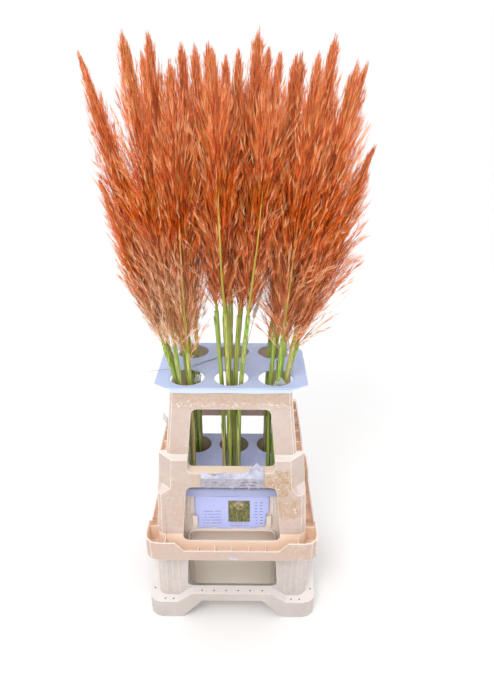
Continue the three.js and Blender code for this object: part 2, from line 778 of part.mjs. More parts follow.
// How thick a plant is at a height: its stem or stalk, its plume, and nothing above its tip.
function thicknessOf(plant, z) {
  if (plant === SPRIG) return z < SPRIG.roomTo ? SPRIG.clearance : 0;
  if (z > plant.tip[2]) return 0;
  if (z < plant.foot) return STEM.footRadius;
  const height = plant.tip[2] - plant.foot;
  const stout = Math.min(1, (height / PLUME.fullHeight) ** PLUME.slimming);
  return Math.max(plant.girth * stout * plumeRadius((z - plant.foot) / height), 1);
}

// How far a plume may reach from its axis in one direction: out to its own outline, but not past
// the place where it meets its neighbour, which gives each of the two its fair share of the gap.
function reachOf(plant, z, angle) {
  const centre = axisAt(plant, z);
  const out = new THREE.Vector2(Math.cos(angle), Math.sin(angle));
  const own = thicknessOf(plant, z);
  let reach = own;
  for (const other of NEIGHBOURS) {
    const theirs = thicknessOf(other, z);
    if (other === plant || theirs === 0) continue;
    const across = axisAt(other, z).sub(centre);
    const gap = across.length();
    const towards = out.dot(across.normalize());
    const meeting = Math.min((gap * own) / (own + theirs), gap - STEM.footRadius) - PLUME.margin;
    if (towards > 0) reach = Math.min(reach, Math.max(meeting, 1) / towards);
  }
  return reach;
}

function pointOf(plant, z, angle, distance) {
  const centre = axisAt(plant, z);
  return new THREE.Vector3(centre.x + distance * Math.cos(angle), centre.y + distance * Math.sin(angle), z);
}

// A round body along a plant's axis, through levels of height and radius.
function spindle(plant, levels, sides) {
  const angles = Array.from({ length: sides }, (_, i) => (i / sides) * 2 * Math.PI);
  return loft(levels.map(({ z, radius }) => angles.map((angle) => pointOf(plant, z, angle, radius))));
}

const STEM_FOOT = BUCKET.bottom + WALL + GAP;
const STEM_LEVELS = [STEM_FOOT, STRAIGHT_BELOW, 520, SHEET.top.upper];

function stem(plant) {
  const levels = [...STEM_LEVELS, plant.foot].map((z) => ({
    z,
    radius: THREE.MathUtils.mapLinear(z, STEM_FOOT, plant.foot, STEM.footRadius, STEM.topRadius),
  }));
  return spindle(plant, levels, STEM.sides);
}

// A plume is one body with its tufts raised from it in whorls. Each whorl is a ring of valleys
// near the rachis with a tuft between each two, and a narrow waist above it from which the next
// whorl rises, turned by half a tuft.
function plume(plant, index) {
  const random = seeded(index + 1);
  const foot = plant.foot + GAP;
  const height = plant.tip[2] - foot;
  const { tufts, riseSpread, reachSpread } = PLUME;
  const whorls = Math.round(height / PLUME.whorlSpacing);
  const sector = (2 * Math.PI) / tufts;
  const at = (z, angle, distance) => Object.assign(pointOf(plant, z, angle, distance), { angle });
  const reach = (z, angle) => reachOf(plant, z, angle);
  const turnOf = (whorl) => index + whorl * (sector / 2);
  const anglesOf = (whorl) => Array.from({ length: tufts }, (_, i) => turnOf(whorl) + i * sector);
  const rings = [anglesOf(0).map((angle) => at(foot, angle, STEM.topRadius))];
  for (let whorl = 0; whorl < whorls; whorl += 1) {
    const z = foot + height * (PLUME.whorls.from + PLUME.whorls.span * (whorl / (whorls - 1)));
    const rise = Math.min(PLUME.tuftRise, (plant.tip[2] - z) * PLUME.riseLimit);
    const centre = pointOf(plant, z, 0, 0);
    const raise = pointOf(plant, z + PLUME.waistRise, 0, 0).sub(centre);
    const angles = anglesOf(whorl);
    const middles = angles.map((angle) => angle + sector / 2);
    // A tuft that has little room rises less, so it stays clear of the whorl above it.
    const rises = middles.map((middle) => {
      const room = reach(z + rise, middle) / PLUME.radius;
      return rise * Math.min(1, room) * (1 - riseSpread * random());
    });
    const tips = middles.map((middle, i) => {
      const tipHeight = z + rises[i];
      return at(tipHeight, middle, reach(tipHeight, middle) * (1 - reachSpread * random()));
    });
    const widest = PLUME.valleyLimit * Math.min(...angles.map((angle) => reach(z, angle)));
    const valleys = angles.map((angle) => (
      at(z, angle, PLUME.valleyShare * Math.min(reach(z, angle), widest))
    ));
    const waist = valleys.map((valley, i) => {
      const between = valley.clone().lerp(valleys[(i + 1) % tufts], 0.5);
      const point = between.lerp(centre, 1 - PLUME.waistShare).add(raise);
      return Object.assign(point, { angle: middles[i] });
    });
    rings.push(valleys.flatMap((valley, i) => [valley, tips[i]]), waist);
  }
  return stitch(rings, pointOf(plant, plant.tip[2], 0, 0));
}

// A closed body through rings whose points go round by angle, in any number, up to one apex.
function stitch(rings, apex) {
  const vertices = [];
  const faces = [];
  const firstOf = rings.map((ring) => {
    const first = vertices.length;
    vertices.push(...ring);
    return first;
  });
  rings.slice(0, -1).forEach((low, level) => {
    const high = rings[level + 1];
    const [a, b] = [firstOf[level], firstOf[level + 1]];
    // Both rings are walked together, always along the one whose next point comes first.
    const start = high.reduce((best, point, i) => (
      angleGap(low[0].angle, point.angle) < angleGap(low[0].angle, high[best].angle) ? i : best
    ), 0);
    let i = 0;
    let j = 0;
    while (i < low.length || j < high.length) {
      const lowNow = a + (i % low.length);
      const lowNext = a + ((i + 1) % low.length);
      const highNow = b + ((start + j) % high.length);
      const highNext = b + ((start + j + 1) % high.length);
      const lowTurn = turnFrom(low[0].angle, low[(i + 1) % low.length].angle, i + 1 === low.length);
      const highTurn = turnFrom(low[0].angle, vertices[highNext].angle, j + 1 === high.length);
      const stepLow = j === high.length || (i < low.length && lowTurn <= highTurn);
      if (stepLow) {
        faces.push(lowNow, lowNext, highNow);
        i += 1;
      } else {
        faces.push(lowNow, highNext, highNow);
        j += 1;
      }
    }
  });
  const last = firstOf[rings.length - 1];
  const lastRing = rings[rings.length - 1];
  const tip = vertices.length;
  vertices.push(apex);
  lastRing.forEach((_, i) => faces.push(last + i, last + ((i + 1) % lastRing.length), tip));
  for (let i = 1; i + 1 < rings[0].length; i += 1) faces.push(0, i + 1, i);
  const geometry = new THREE.BufferGeometry();
  const positions = vertices.flatMap((p) => [p.x, p.y, p.z]);
  geometry.setAttribute('position', new THREE.Float32BufferAttribute(positions, 3));
  geometry.setIndex(faces);
  return toSolid(geometry);
}

const FULL_TURN = 2 * Math.PI;
const wrap = (angle) => ((angle % FULL_TURN) + FULL_TURN) % FULL_TURN;
const angleGap = (a, b) => Math.min(wrap(a - b), wrap(b - a));

// The turn from one angle on to another, where a point just behind the start counts as ahead
// of it by nothing, and the last point of a ring closes the full turn.
function turnFrom(start, angle, closing) {
  const turn = wrap(angle - start);
  if (closing) return turn < Math.PI ? turn + FULL_TURN : turn;
  return turn;
}

function seeded(seed) {
  let state = seed * 7919;
  return () => {
    state = (state * 16807 + 12345) % 2147483647;
    return state / 2147483647;
  };
}

function water() {
  const { bottom } = BUCKET;
  const pool = block([bucketLevel(bottom + WALL + GAP, WALL + GAP), bucketLevel(WATER_LEVEL, WALL + GAP)]);
  const standing = [
    ...PLANTS.map((plant) => ({ plant, radius: STEM.footRadius })),
    { plant: SPRIG, radius: SPRIG.radius },
  ];
  const holes = standing.map(({ plant, radius }) => toSolid(spindle(plant, [
    { z: bottom, radius: radius + GAP },
    { z: WATER_LEVEL + 5, radius: radius + GAP },
  ], STEM.sides)));
  return cut(pool, ...holes);
}

// A thin dry stalk with a pale ragged head.
function sprig() {
  const { foot, radius } = SPRIG;
  const stalk = spindle(SPRIG, [...STEM_LEVELS, foot].map((z) => ({ z, radius })), 5);
  const head = spindle(SPRIG, SPRIG.head.map(([up, swelling]) => ({ z: foot + up, radius: swelling })), 6);
  return fuse(toSolid(stalk), toSolid(head));
}

// A thin blade of grass that lies on the upper sheet, widest a little before its middle.
function looseBlade() {
  const { halfWidth, thickness } = LOOSE_BLADE;
  const line = new THREE.CatmullRomCurve3(LOOSE_BLADE.line.map(([x, y]) => new THREE.Vector3(x, y, 0)));
  const [low, high] = [SHEET.top.upper + GAP, SHEET.top.upper + GAP + thickness];
  const rings = Array.from({ length: LOOSE_BLADE.rings }, (_, i) => {
    const share = i / (LOOSE_BLADE.rings - 1);
    const point = line.getPoint(share);
    const along = line.getTangent(share);
    const half = halfWidth * (1 - 0.7 * Math.abs(share - 0.4));
    const side = new THREE.Vector3(along.y, -along.x, 0).multiplyScalar(half);
    const left = point.clone().sub(side);
    const right = point.clone().add(side);
    return [[right, high], [right, low], [left, low], [left, high]].map(([p, z]) => (
      new THREE.Vector3(p.x, p.y, z)
    ));
  });
  return toSolid(loft(rings));
}

// ---------------------------------------------------------------- the model

const model = new THREE.Group();

function addMesh(name, solid, { colour, roughness = 0.6 }) {
  const material = new THREE.MeshStandardMaterial({ color: colour, roughness, metalness: 0 });
  const mesh = new THREE.Mesh(solid instanceof THREE.BufferGeometry ? solid : toGeometry(solid), material);
  mesh.name = name;
  model.add(mesh);
}

addMesh('base_container', baseContainer(), { colour: COLOURS.base, roughness: 0.55 });
addMesh('upper_frame', upperFrame(), { colour: COLOURS.upper, roughness: 0.6 });
addMesh('lower_stem_sheet', stemSheet('lower'), { colour: COLOURS.sheet, roughness: 0.45 });
addMesh('upper_stem_sheet', stemSheet('upper'), { colour: COLOURS.sheet, roughness: 0.45 });
addMesh('water', water(), { colour: COLOURS.water, roughness: 0.05 });
addMesh('label_card', labelCard(), { colour: COLOURS.card, roughness: 0.5 });
addMesh('torn_paper', tornPaper(), { colour: COLOURS.paper, roughness: 0.7 });
addMesh('dry_sprig', sprig(), { colour: COLOURS.sprig, roughness: 0.8 });
addMesh('loose_blade', looseBlade(), { colour: COLOURS.blade, roughness: 0.7 });
PLANTS.forEach((plant, index) => {
  addMesh(`stem_${plant.name}`, stem(plant), { colour: COLOURS.stem, roughness: 0.5 });
  addMesh(`plume_${plant.name}`, plume(plant, index), { colour: COLOURS.plume, roughness: 0.9 });
});

export default model;
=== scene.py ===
"""Looks of the cut pampas grass and its two-tier flower container.

Shapes are worked out in millimetres, as in the CAD source, and become metres in new_mesh().
Colours are sRGB values from 0 to 255, and become linear ones in Shader.
"""

import math

import bmesh
import bpy
import numpy as np
from mathutils import Matrix, Vector


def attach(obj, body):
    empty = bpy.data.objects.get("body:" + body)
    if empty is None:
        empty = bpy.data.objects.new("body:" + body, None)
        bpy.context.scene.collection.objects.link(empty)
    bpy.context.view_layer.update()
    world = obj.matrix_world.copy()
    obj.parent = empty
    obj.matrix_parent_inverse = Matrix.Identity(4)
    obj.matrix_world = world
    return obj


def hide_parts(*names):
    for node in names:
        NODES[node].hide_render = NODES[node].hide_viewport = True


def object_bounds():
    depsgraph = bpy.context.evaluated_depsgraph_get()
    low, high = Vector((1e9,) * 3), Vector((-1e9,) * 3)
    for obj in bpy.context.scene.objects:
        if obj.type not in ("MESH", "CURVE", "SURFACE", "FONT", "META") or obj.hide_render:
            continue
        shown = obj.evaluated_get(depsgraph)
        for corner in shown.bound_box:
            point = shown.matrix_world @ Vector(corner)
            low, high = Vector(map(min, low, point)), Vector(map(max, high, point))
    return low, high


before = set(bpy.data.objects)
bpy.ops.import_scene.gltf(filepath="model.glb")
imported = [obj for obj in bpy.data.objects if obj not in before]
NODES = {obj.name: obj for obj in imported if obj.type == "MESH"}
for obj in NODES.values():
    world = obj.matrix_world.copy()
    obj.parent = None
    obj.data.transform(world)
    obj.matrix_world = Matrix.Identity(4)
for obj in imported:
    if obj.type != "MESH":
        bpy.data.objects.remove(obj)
CAD_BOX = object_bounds()
MM = 0.001
GOLDEN_ANGLE = math.pi * (3 - math.sqrt(5))

# ---------------------------------------- meshes


def new_mesh(name, points, faces, material, smooth=True):
    """A mesh object from arrays: points in millimetres, faces all with the same count of sides."""
    points = np.asarray(points, np.float64).reshape(-1, 3) * MM
    faces = np.asarray(faces, np.int32)
    mesh = bpy.data.meshes.new(name)
    mesh.vertices.add(len(points))
    mesh.vertices.foreach_set("co", points.ravel())
    mesh.loops.add(faces.size)
    mesh.loops.foreach_set("vertex_index", faces.ravel())
    mesh.polygons.add(len(faces))
    mesh.polygons.foreach_set("loop_start", np.arange(0, faces.size, faces.shape[1], dtype=np.int32))
    mesh.update(calc_edges=True)
    mesh.validate()
    return dress(name, mesh, material, smooth)


def dress(name, mesh, material, smooth):
    piece = bpy.data.objects.new(name, mesh)
    bpy.context.scene.collection.objects.link(piece)
    mesh.materials.clear()
    mesh.materials.append(material)
    mesh.polygons.foreach_set("use_smooth", np.full(len(mesh.polygons), smooth))
    return piece


class Parts:
    """Points and faces of a mesh that is put together from parts, and a mark for each point."""

    def __init__(self):
        self.points, self.faces, self.marks = [], [], []

    def add(self, points, faces, mark=(0, 0, 0, 1)):
        points = np.reshape(points, (-1, 3))
        self.faces.append(faces + sum(map(len, self.points)))
        self.points.append(points)
        self.marks.append(np.broadcast_to(mark, (len(points), 4)))

    def joined(self):
        marks = np.concatenate(self.marks).astype(np.float32)
        return np.concatenate(self.points), np.concatenate(self.faces), marks


def mark_points(piece, name, marks):
    """Keeps four numbers for each point in an attribute, for the material to read."""
    layer = piece.data.color_attributes.new(name, "FLOAT_COLOR", "POINT")
    layer.data.foreach_set("color", marks.ravel())


def add_piece(piece, slot, *nodes):
    """Makes a piece part of the object: it rides on the only body, and may stand for CAD nodes."""
    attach(piece, "root")
    if nodes:
        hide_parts(*nodes)


def apply_modifiers(piece):
    evaluated = piece.evaluated_get(bpy.context.evaluated_depsgraph_get())
    mesh = bpy.data.meshes.new_from_object(evaluated)
    piece.modifiers.clear()
    piece.data = mesh


def join_points(mesh, distance, flat_within=0):
    """Joins points that are closer than a distance, and then faces that are almost in a plane."""
    work = bmesh.new()
    work.from_mesh(mesh)
    bmesh.ops.remove_doubles(work, verts=work.verts, dist=distance * MM)
    if flat_within:
        angle = math.radians(flat_within)
        bmesh.ops.dissolve_limit(
            work, angle_limit=angle, verts=work.verts, edges=work.edges, delimit=set(),
        )
    work.to_mesh(mesh)
    work.free()


def thicken(piece, thickness):
    """Gives a surface its thickness, on the side that it faces away from."""
    solid = piece.modifiers.new("thickness", "SOLIDIFY")
    solid.thickness = thickness * MM
    solid.offset = -1
    apply_modifiers(piece)


def tube_faces(rings, sides):
    """Triangles of a tube with closed ends, whose points are listed ring by ring."""
    ring = np.arange(rings - 1)[:, None] * sides
    i = np.arange(sides)[None, :]
    a, b = ring + i, ring + (i + 1) % sides
    fan = np.arange(1, sides - 1)
    top = (rings - 1) * sides
    return np.concatenate([
        np.stack([a, b, b + sides], -1).reshape(-1, 3),
        np.stack([a, b + sides, a + sides], -1).reshape(-1, 3),
        np.stack([0 * fan, fan + 1, fan], -1),
        np.stack([top + 0 * fan, top + fan, top + fan + 1], -1),
    ])


def repeat_faces(faces, count, stride):
    return (faces[None] + (np.arange(count) * stride)[:, None, None]).reshape(-1, 3)


def grid_faces(columns, rows):
    """Triangles between the points of a grid that is listed column by column."""
    a = (np.arange(columns - 1)[:, None] * rows + np.arange(rows - 1)[None, :]).ravel()
    b = a + rows
    return np.concatenate([np.stack([a, b, b + 1], -1), np.stack([a, b + 1, a + 1], -1)])


def unit_grid(columns, rows):
    """How far across and how far up the points of a grid are, from 0 to 1."""
    return np.meshgrid(np.linspace(0, 1, columns), np.linspace(0, 1, rows), indexing="ij")


def normalised(vectors):
    return vectors / np.maximum(np.linalg.norm(vectors, axis=-1, keepdims=True), 1e-9)


def around(angle):
    """Flat unit vectors at angles from the x axis."""
    return np.stack([np.cos(angle), np.sin(angle)], -1)


def along_line(path, at, places):
    """Points on a line through path, whose own points are at those distances or heights."""
    return np.stack([np.interp(places, at, path[:, i]) for i in range(3)], -1)


def tubes(curves, radii, sides, aside=(0.3, 0.2, 1.0)):
    """Points and triangles of tubes along curves, which are given as (curve, point, xyz). The
    first corner of a ring is square to the curve and to the direction aside."""
    count, points = curves.shape[:2]
    tangent = normalised(np.gradient(curves, axis=1))
    side = normalised(np.cross(tangent, aside))
    other = np.cross(tangent, side)
    radii = radii[None, :, None]
    turns = np.arange(sides) / sides * 2 * math.pi
    corners = [curves + radii * (math.cos(turn) * side + math.sin(turn) * other) for turn in turns]
    faces = repeat_faces(tube_faces(points, sides), count, points * sides)
    return np.stack(corners, 2).reshape(-1, 3), faces


# ---------------------------------------- materials


def linear(colour):
    """A colour as the shader wants it."""
    values = [c / 255 for c in colour]
    return [v / 12.92 if v <= 0.04045 else ((v + 0.055) / 1.055) ** 2.4 for v in values] + [1.0]


class Value:
    """A node's output, with sums, products and comparisons that make further nodes."""

    def __init__(self, shader, socket):
        self.shader, self.socket = shader, socket

    def math(self, operation, other=0.0):
        node = self.shader.node("Math", {"operation": operation})
        self.shader.feed(node.inputs[0], self)
        self.shader.feed(node.inputs[1], other)
        return Value(self.shader, node.outputs[0])

    def __add__(self, other):
        return self.math("ADD", other)

    def __sub__(self, other):
        return self.math("SUBTRACT", other)

    def __mul__(self, other):
        return self.math("MULTIPLY", other)

    def __gt__(self, limit):
        return self.math("GREATER_THAN", limit)

    def __lt__(self, limit):
        return self.math("LESS_THAN", limit)

    def __abs__(self):
        return self.math("ABSOLUTE")

    def within(self, bounds):
        """1 where this value lies between two bounds."""
        return (self > bounds[0]) * (self < bounds[1])

    def ramp(self, *stops):
        """stops are (place, colour or number)."""
        node = self.shader.node("ValToRGB", Fac=self)
        elements = node.color_ramp.elements
        while len(elements) < len(stops):
            elements.new(0.5)
        for element, (place, shade) in zip(elements, stops):
            element.position = place
            element.color = linear(shade) if isinstance(shade, tuple) else [shade] * 3 + [1.0]
        return Value(self.shader, node.outputs["Color"])

    def split(self):
        node = self.shader.node("SeparateXYZ", Vector=self)
        return [Value(self.shader, socket) for socket in node.outputs]

    def mixed(self, share, other):
        """This colour with a share of another one."""
        node = self.shader.node("Mix", {"data_type": "RGBA"}, Factor=share)
        self.shader.feed(node.inputs[6], self)
        self.shader.feed(node.inputs[7], other)
        return Value(self.shader, node.outputs[2])

    def covered(self, other, value, start, full, strength):
        """This colour with another one where a value is high: from start on, and fully at full."""
        return self.mixed(value.ramp((start, 0.0), (full, strength)), other)


class Shader:
    """A node material that is built up from a Principled shader."""

    def __init__(self, name, roughness=0.5, **sockets):
        self.material = bpy.data.materials.new(name)
        self.material.use_nodes = True
        self.tree = self.material.node_tree
        self.surface = self.tree.nodes["Principled BSDF"].inputs
        self.surface["Roughness"].default_value = roughness
        for socket, value in sockets.items():
            self.surface[socket.replace("_", " ")].default_value = value

    def node(self, kind, settings=None, **inputs):
        node = self.tree.nodes.new("ShaderNode" + kind)
        for key, value in (settings or {}).items():
            setattr(node, key, value)
        for key, value in inputs.items():
            self.feed(node.inputs[key], value)
        return node

    def feed(self, socket, value):
        """Links a socket to another node, or sets it to a number, a vector or a colour."""
        if isinstance(value, Value):
            self.tree.links.new(value.socket, socket)
        else:
            socket.default_value = linear(value) if socket.type == "RGBA" else value

    def output(self, name, kind, settings=None, **inputs):
        return Value(self, self.node(kind, settings, **inputs).outputs[name])

    def position(self, scale=(1, 1, 1)):
        """Place on the object, in metres times a scale for each axis."""
        place = self.output("Position", "NewGeometry")
        return self.output("Vector", "Mapping", Vector=place, Scale=scale)

    def place(self):
        """x, y and z of the place on the object, in millimetres."""
        return self.position([1 / MM] * 3).split()

    def mirrored_place(self):
        """The same, but x and y are distances from the middle."""
        x, y, z = self.place()
        return abs(x), abs(y), z

    def height(self):
        """Height in metres, which suits a ramp."""
        return self.position().split()[2]

    def facing(self):
        return self.output("Normal", "NewGeometry").split()

    def noise(self, scale, detail=3.0, roughness=0.55, stretch=(1, 1, 1), distortion=0.0):
        return self.output(
            "Fac", "TexNoise", Vector=self.position(stretch), Scale=scale, Detail=detail,
            Roughness=roughness, Distortion=distortion,
        )

    def block(self, across, heights):
        """1 inside a rectangle on the front."""
        x, _, z = self.place()
        return x.within(across) * z.within(heights)

    def rows_of_print(self, pitch, share, letters, gaps):
        """1 on rows that fill a share of their pitch, but for the gaps where a noise is low."""
        rows = (self.place()[2] * (1 / pitch)).math("FRACT") < share
        return rows * (letters > gaps)

    def finished(self, colour, roughness=None, bump=None):
        """The material. bump is a height, its strength and its distance."""
        self.feed(self.surface["Base Color"], colour)
        if roughness:
            self.feed(self.surface["Roughness"], roughness)
        if bump:
            height, strength, distance = bump
            normal = self.output("Normal", "Bump", Strength=strength, Distance=distance, Height=height)
            self.feed(self.surface["Normal"], normal)
        return self.material


def length(values):
    """The length of a vector that is given as its values along the axes."""
    first, *others = [value * value for value in values]
    return sum(others, first).math("SQRT")


PATCH_WOBBLE = 70  # how ragged the edges of the patches are
FRONT_Y = -120  # patches are in front of this
# Painted light: the first colour is a painted highlight and the last one pales what looks up; the middle
# one is the colour of scratches.
PAINTED_HIGHLIGHT, SCRATCHED, PAINTED_TOP_LIGHT = (254, 246, 240), (252, 248, 244), (255, 250, 246)


def moulded_plastic(name, pale, deep, stain, stained, patches=(), painted_highlight_strength=0.0, inner=()):
    """Scuffed satin plastic, mottled, with ochre stains, and with painted light that makes it paler
    where it looks up. stained is the share of the stains that shows. patches are rectangles on the
    front that are flecked with a colour. The argument after patches is the strength of a painted
    highlight. inner holds masks and the colours there, which are painted light and shade."""
    shader = Shader(name, 0.5, IOR=1.46, Subsurface_Weight=0.12, Subsurface_Scale=0.01)
    body = shader.noise(9, 5, 0.6).ramp((0.3, deep), (0.68, pale))
    body = body.covered(deep, shader.noise(30, 4, 0.6, (1, 1, 0.22)), 0.52, 0.74, 0.35)
    grime = shader.noise(17, 6, 0.7, distortion=1.2)
    body = body.covered(stain, grime, 0.66 - 0.12 * stained, 0.8, 0.3 * stained)
    body = body.covered(stain, shader.noise(220, 4, 0.8), 0.58, 0.68, 0.3 * stained)
    scratch = shader.noise(240, 3, 0.6, (0.12, 0.12, 1))
    body = body.covered(SCRATCHED, scratch, 0.6, 0.72, 0.22)
    if patches:
        x, y, z = shader.place()
        wobble = (shader.noise(45, 6, 0.8) - 0.5) * PATCH_WOBBLE
        x, z, front = x + wobble, z - wobble, y < FRONT_Y
    for index, ((x0, x1, z0, z1), colour, sparse, share) in enumerate(patches):
        # Four sizes of flecks take turns.
        fine = shader.noise(95 + 17 * (index % 4), 6, 0.86)
        flecks = fine.ramp((sparse, 0.0), (sparse + 0.09, share))
        body = body.mixed(x.within((x0, x1)) * z.within((z0, z1)) * front * flecks, colour)
    # Painted light: faces that look up are made paler.
    body = body.covered(PAINTED_TOP_LIGHT, shader.facing()[2], 0.45, 0.85, 0.75)
    for mask, colour in inner:
        body = body.mixed(mask(shader), colour(shader) if callable(colour) else colour)
    # Painted highlight: a pale colour in patches, which on the edge materials lies along the rounded
    # edges.
    if painted_highlight_strength:
        body = body.mixed(shader.noise(40).ramp((0.35, 0.25 * painted_highlight_strength), (0.6, 0.75 * painted_highlight_strength)), PAINTED_HIGHLIGHT)
    gloss = shader.noise(55, 4).ramp((0.3, 0.4), (0.7, 0.66))
    return shader.finished(body, gloss, (shader.noise(900, 2, 0.5) + scratch * 0.6, 0.25, 0.0004))


# Where the channels of the upper tier are. The lip's is measured from the centres of its corners.
LIP = {"corner": (194, 172), "inside": 3, "outside": 33.4, "diagonal": 340.5, "z": (213.5, 274.5)}
SIDE_CHANNEL = {"x": (163, 183.8), "half_length": 124.5, "z": (478, 504)}
SILL = {"y": (130, 167.5), "half_width": 118, "z": (462, 474)}


def upper_channels(shader):
    """1 inside the lip's channel, in the shoulder's side channels and on the neck window's sill."""
    x, y, z = shader.mirrored_place()
    out = length([(value - centre).math("MAXIMUM") for value, centre in zip((x, y), LIP["corner"])])
    lip = (out > LIP["inside"]).math("MAXIMUM", x + y > LIP["diagonal"])
    lip = lip * (out < LIP["outside"]) * z.within(LIP["z"])
    side = x.within(SIDE_CHANNEL["x"]) * (y < SIDE_CHANNEL["half_length"]) * z.within(SIDE_CHANNEL["z"])
    sill = y.within(SILL["y"]) * (x < SILL["half_width"]) * z.within(SILL["z"])
    return lip + side + sill


def flanks(shader):
    """1 on the walls that face left or right."""
    return abs(shader.facing()[0]) > 0.8


def bucket_wall(shader):
    """1 on the bucket inside the base."""
    x, y, _ = shader.mirrored_place()
    return (x < 144.5) * (y < 121.5)


def neck_wall(shader):
    """1 on the base's neck, which the upper tier's window frames."""
    return shader.place()[2] > 200


def bucket_colour(shader):
    """Browner near the bucket's rim, which is painted shade, and greyer near its floor."""
    return shader.height().ramp(
        (0.02, (232, 222, 208)), (0.12, (222, 210, 196)), (0.21, (214, 194, 178)), (0.26, (250, 222, 200)),
    )


def plume_material():
    """Silky hairs. The colour attribute holds: red the strand's tone, green how far along the
    hair, blue how far up the plume; alpha is 0 on the green rachis."""
    shader = Shader("plume_fibre", 0.75, Specular_IOR_Level=0.08)
    strand = shader.node("Attribute", {"attribute_name": "strand"}).outputs
    tone, along, up = Value(shader, strand["Vector"]).split()
    hair = tone.ramp(
        (0.0, (126, 34, 1)), (0.22, (222, 78, 1)), (0.5, (255, 110, 6)), (0.74, (255, 142, 36)),
        (1.0, (255, 214, 166)),
    )
    hair = hair.covered((206, 128, 8), shader.noise(60, 3, stretch=(1, 1, 0.15)), 0.52, 0.62, 0.7)
    hair = hair.mixed(along * 0.1, (255, 172, 108))
    # The feet of the outer bunches are a pinkish tan.
    foot = up.ramp((0.0, 1.0), (0.26, 0.8), (0.5, 0.0))
    # The ramp over the width goes from 250 mm left of the middle to 250 mm right of it.
    width = shader.position().split()[0] * 2.0 + 0.5
    outer = width.ramp((0.3, 1.0), (0.38, 0.35), (0.64, 0.3), (0.74, 0.5))
    tan = tone.ramp((0.1, (204, 142, 94)), (0.5, (255, 206, 156)), (0.9, (255, 238, 218)))
    hair = hair.mixed(foot * outer, tan).covered((255, 176, 126), up, 0.5, 1.0, 0.6)
    stalk = up.ramp((0.0, (170, 184, 80)), (0.6, (214, 186, 84)))
    return shader.finished(stalk.mixed(Value(shader, strand["Alpha"]), hair))


def stem_material():
    """Green canes with fine lengthwise streaks, yellowing patches and dry bits of sheath. The
    colour attribute holds: red how ripe the cane is, green how dry its skin is."""
    shader = Shader("green_cane", 0.42, IOR=1.45, Subsurface_Weight=0.08, Subsurface_Scale=0.002)
    ripeness, sheath, _ = shader.output("Vector", "Attribute", {"attribute_name": "cane"}).split()
    streaks = shader.noise(420, 3, 0.6, (1, 1, 0.012))
    fresh = streaks.ramp(
        (0.3, (78, 108, 28)), (0.46, (138, 172, 62)), (0.6, (176, 200, 92)), (0.74, (224, 222, 140)),
    )
    ripe = streaks.ramp((0.3, (120, 122, 44)), (0.5, (186, 180, 84)), (0.7, (226, 214, 146)))
    body = fresh.covered(ripe, ripeness, 0.4, 0.85, 0.65)
    body = body.covered((190, 174, 92), shader.noise(26, 4), 0.56, 0.7, 0.45)
    # Painted shade: the canes are darker low down, inside the container, mostly between their streaks.
    inside = shader.height().ramp((0.58, 0.62), (0.7, 0.0))
    body = body.mixed(inside * streaks.ramp((0.42, 1.0), (0.62, 0.2)), (52, 70, 20))
    husk = streaks.ramp((0.3, (150, 122, 74)), (0.7, (222, 204, 154)))
    return shader.finished(body.mixed(sheath, husk), bump=(streaks, 0.3, 0.0004))


# ---------------------------------------- the plants' axes and outlines, as in the CAD

SHEET_TOP = 690.0
BEND_SHARE = 0.15
SETTLE_DEPTH = 100.0
STRAIGHT_BELOW = 170.0
STEM_FOOT = 46.3
STEM_FOOT_RADIUS = 6.4
STEM_TOP_RADIUS = 5.4
PLUME_RADIUS = 80.0
PLUME_FULL_HEIGHT = 580.0
OUTLINE_FOOT, OUTLINE_SKEW, OUTLINE_FULLNESS = 0.16, 0.62, 0.9
GIRTH = {"front_left_1": 0.72, "front_left_4": 0.78, "back_left_1": 0.72, "front_right_5": 1.15}
PLUME_BLEND = 0.5  # of the room that neighbours take from a plume, which its hairs use all the same


def vertices_of(node):
    data = NODES[node].data
    points = np.empty(len(data.vertices) * 3, np.float32)
    data.vertices.foreach_get("co", points)
    return points.reshape(-1, 3).astype(float) / MM


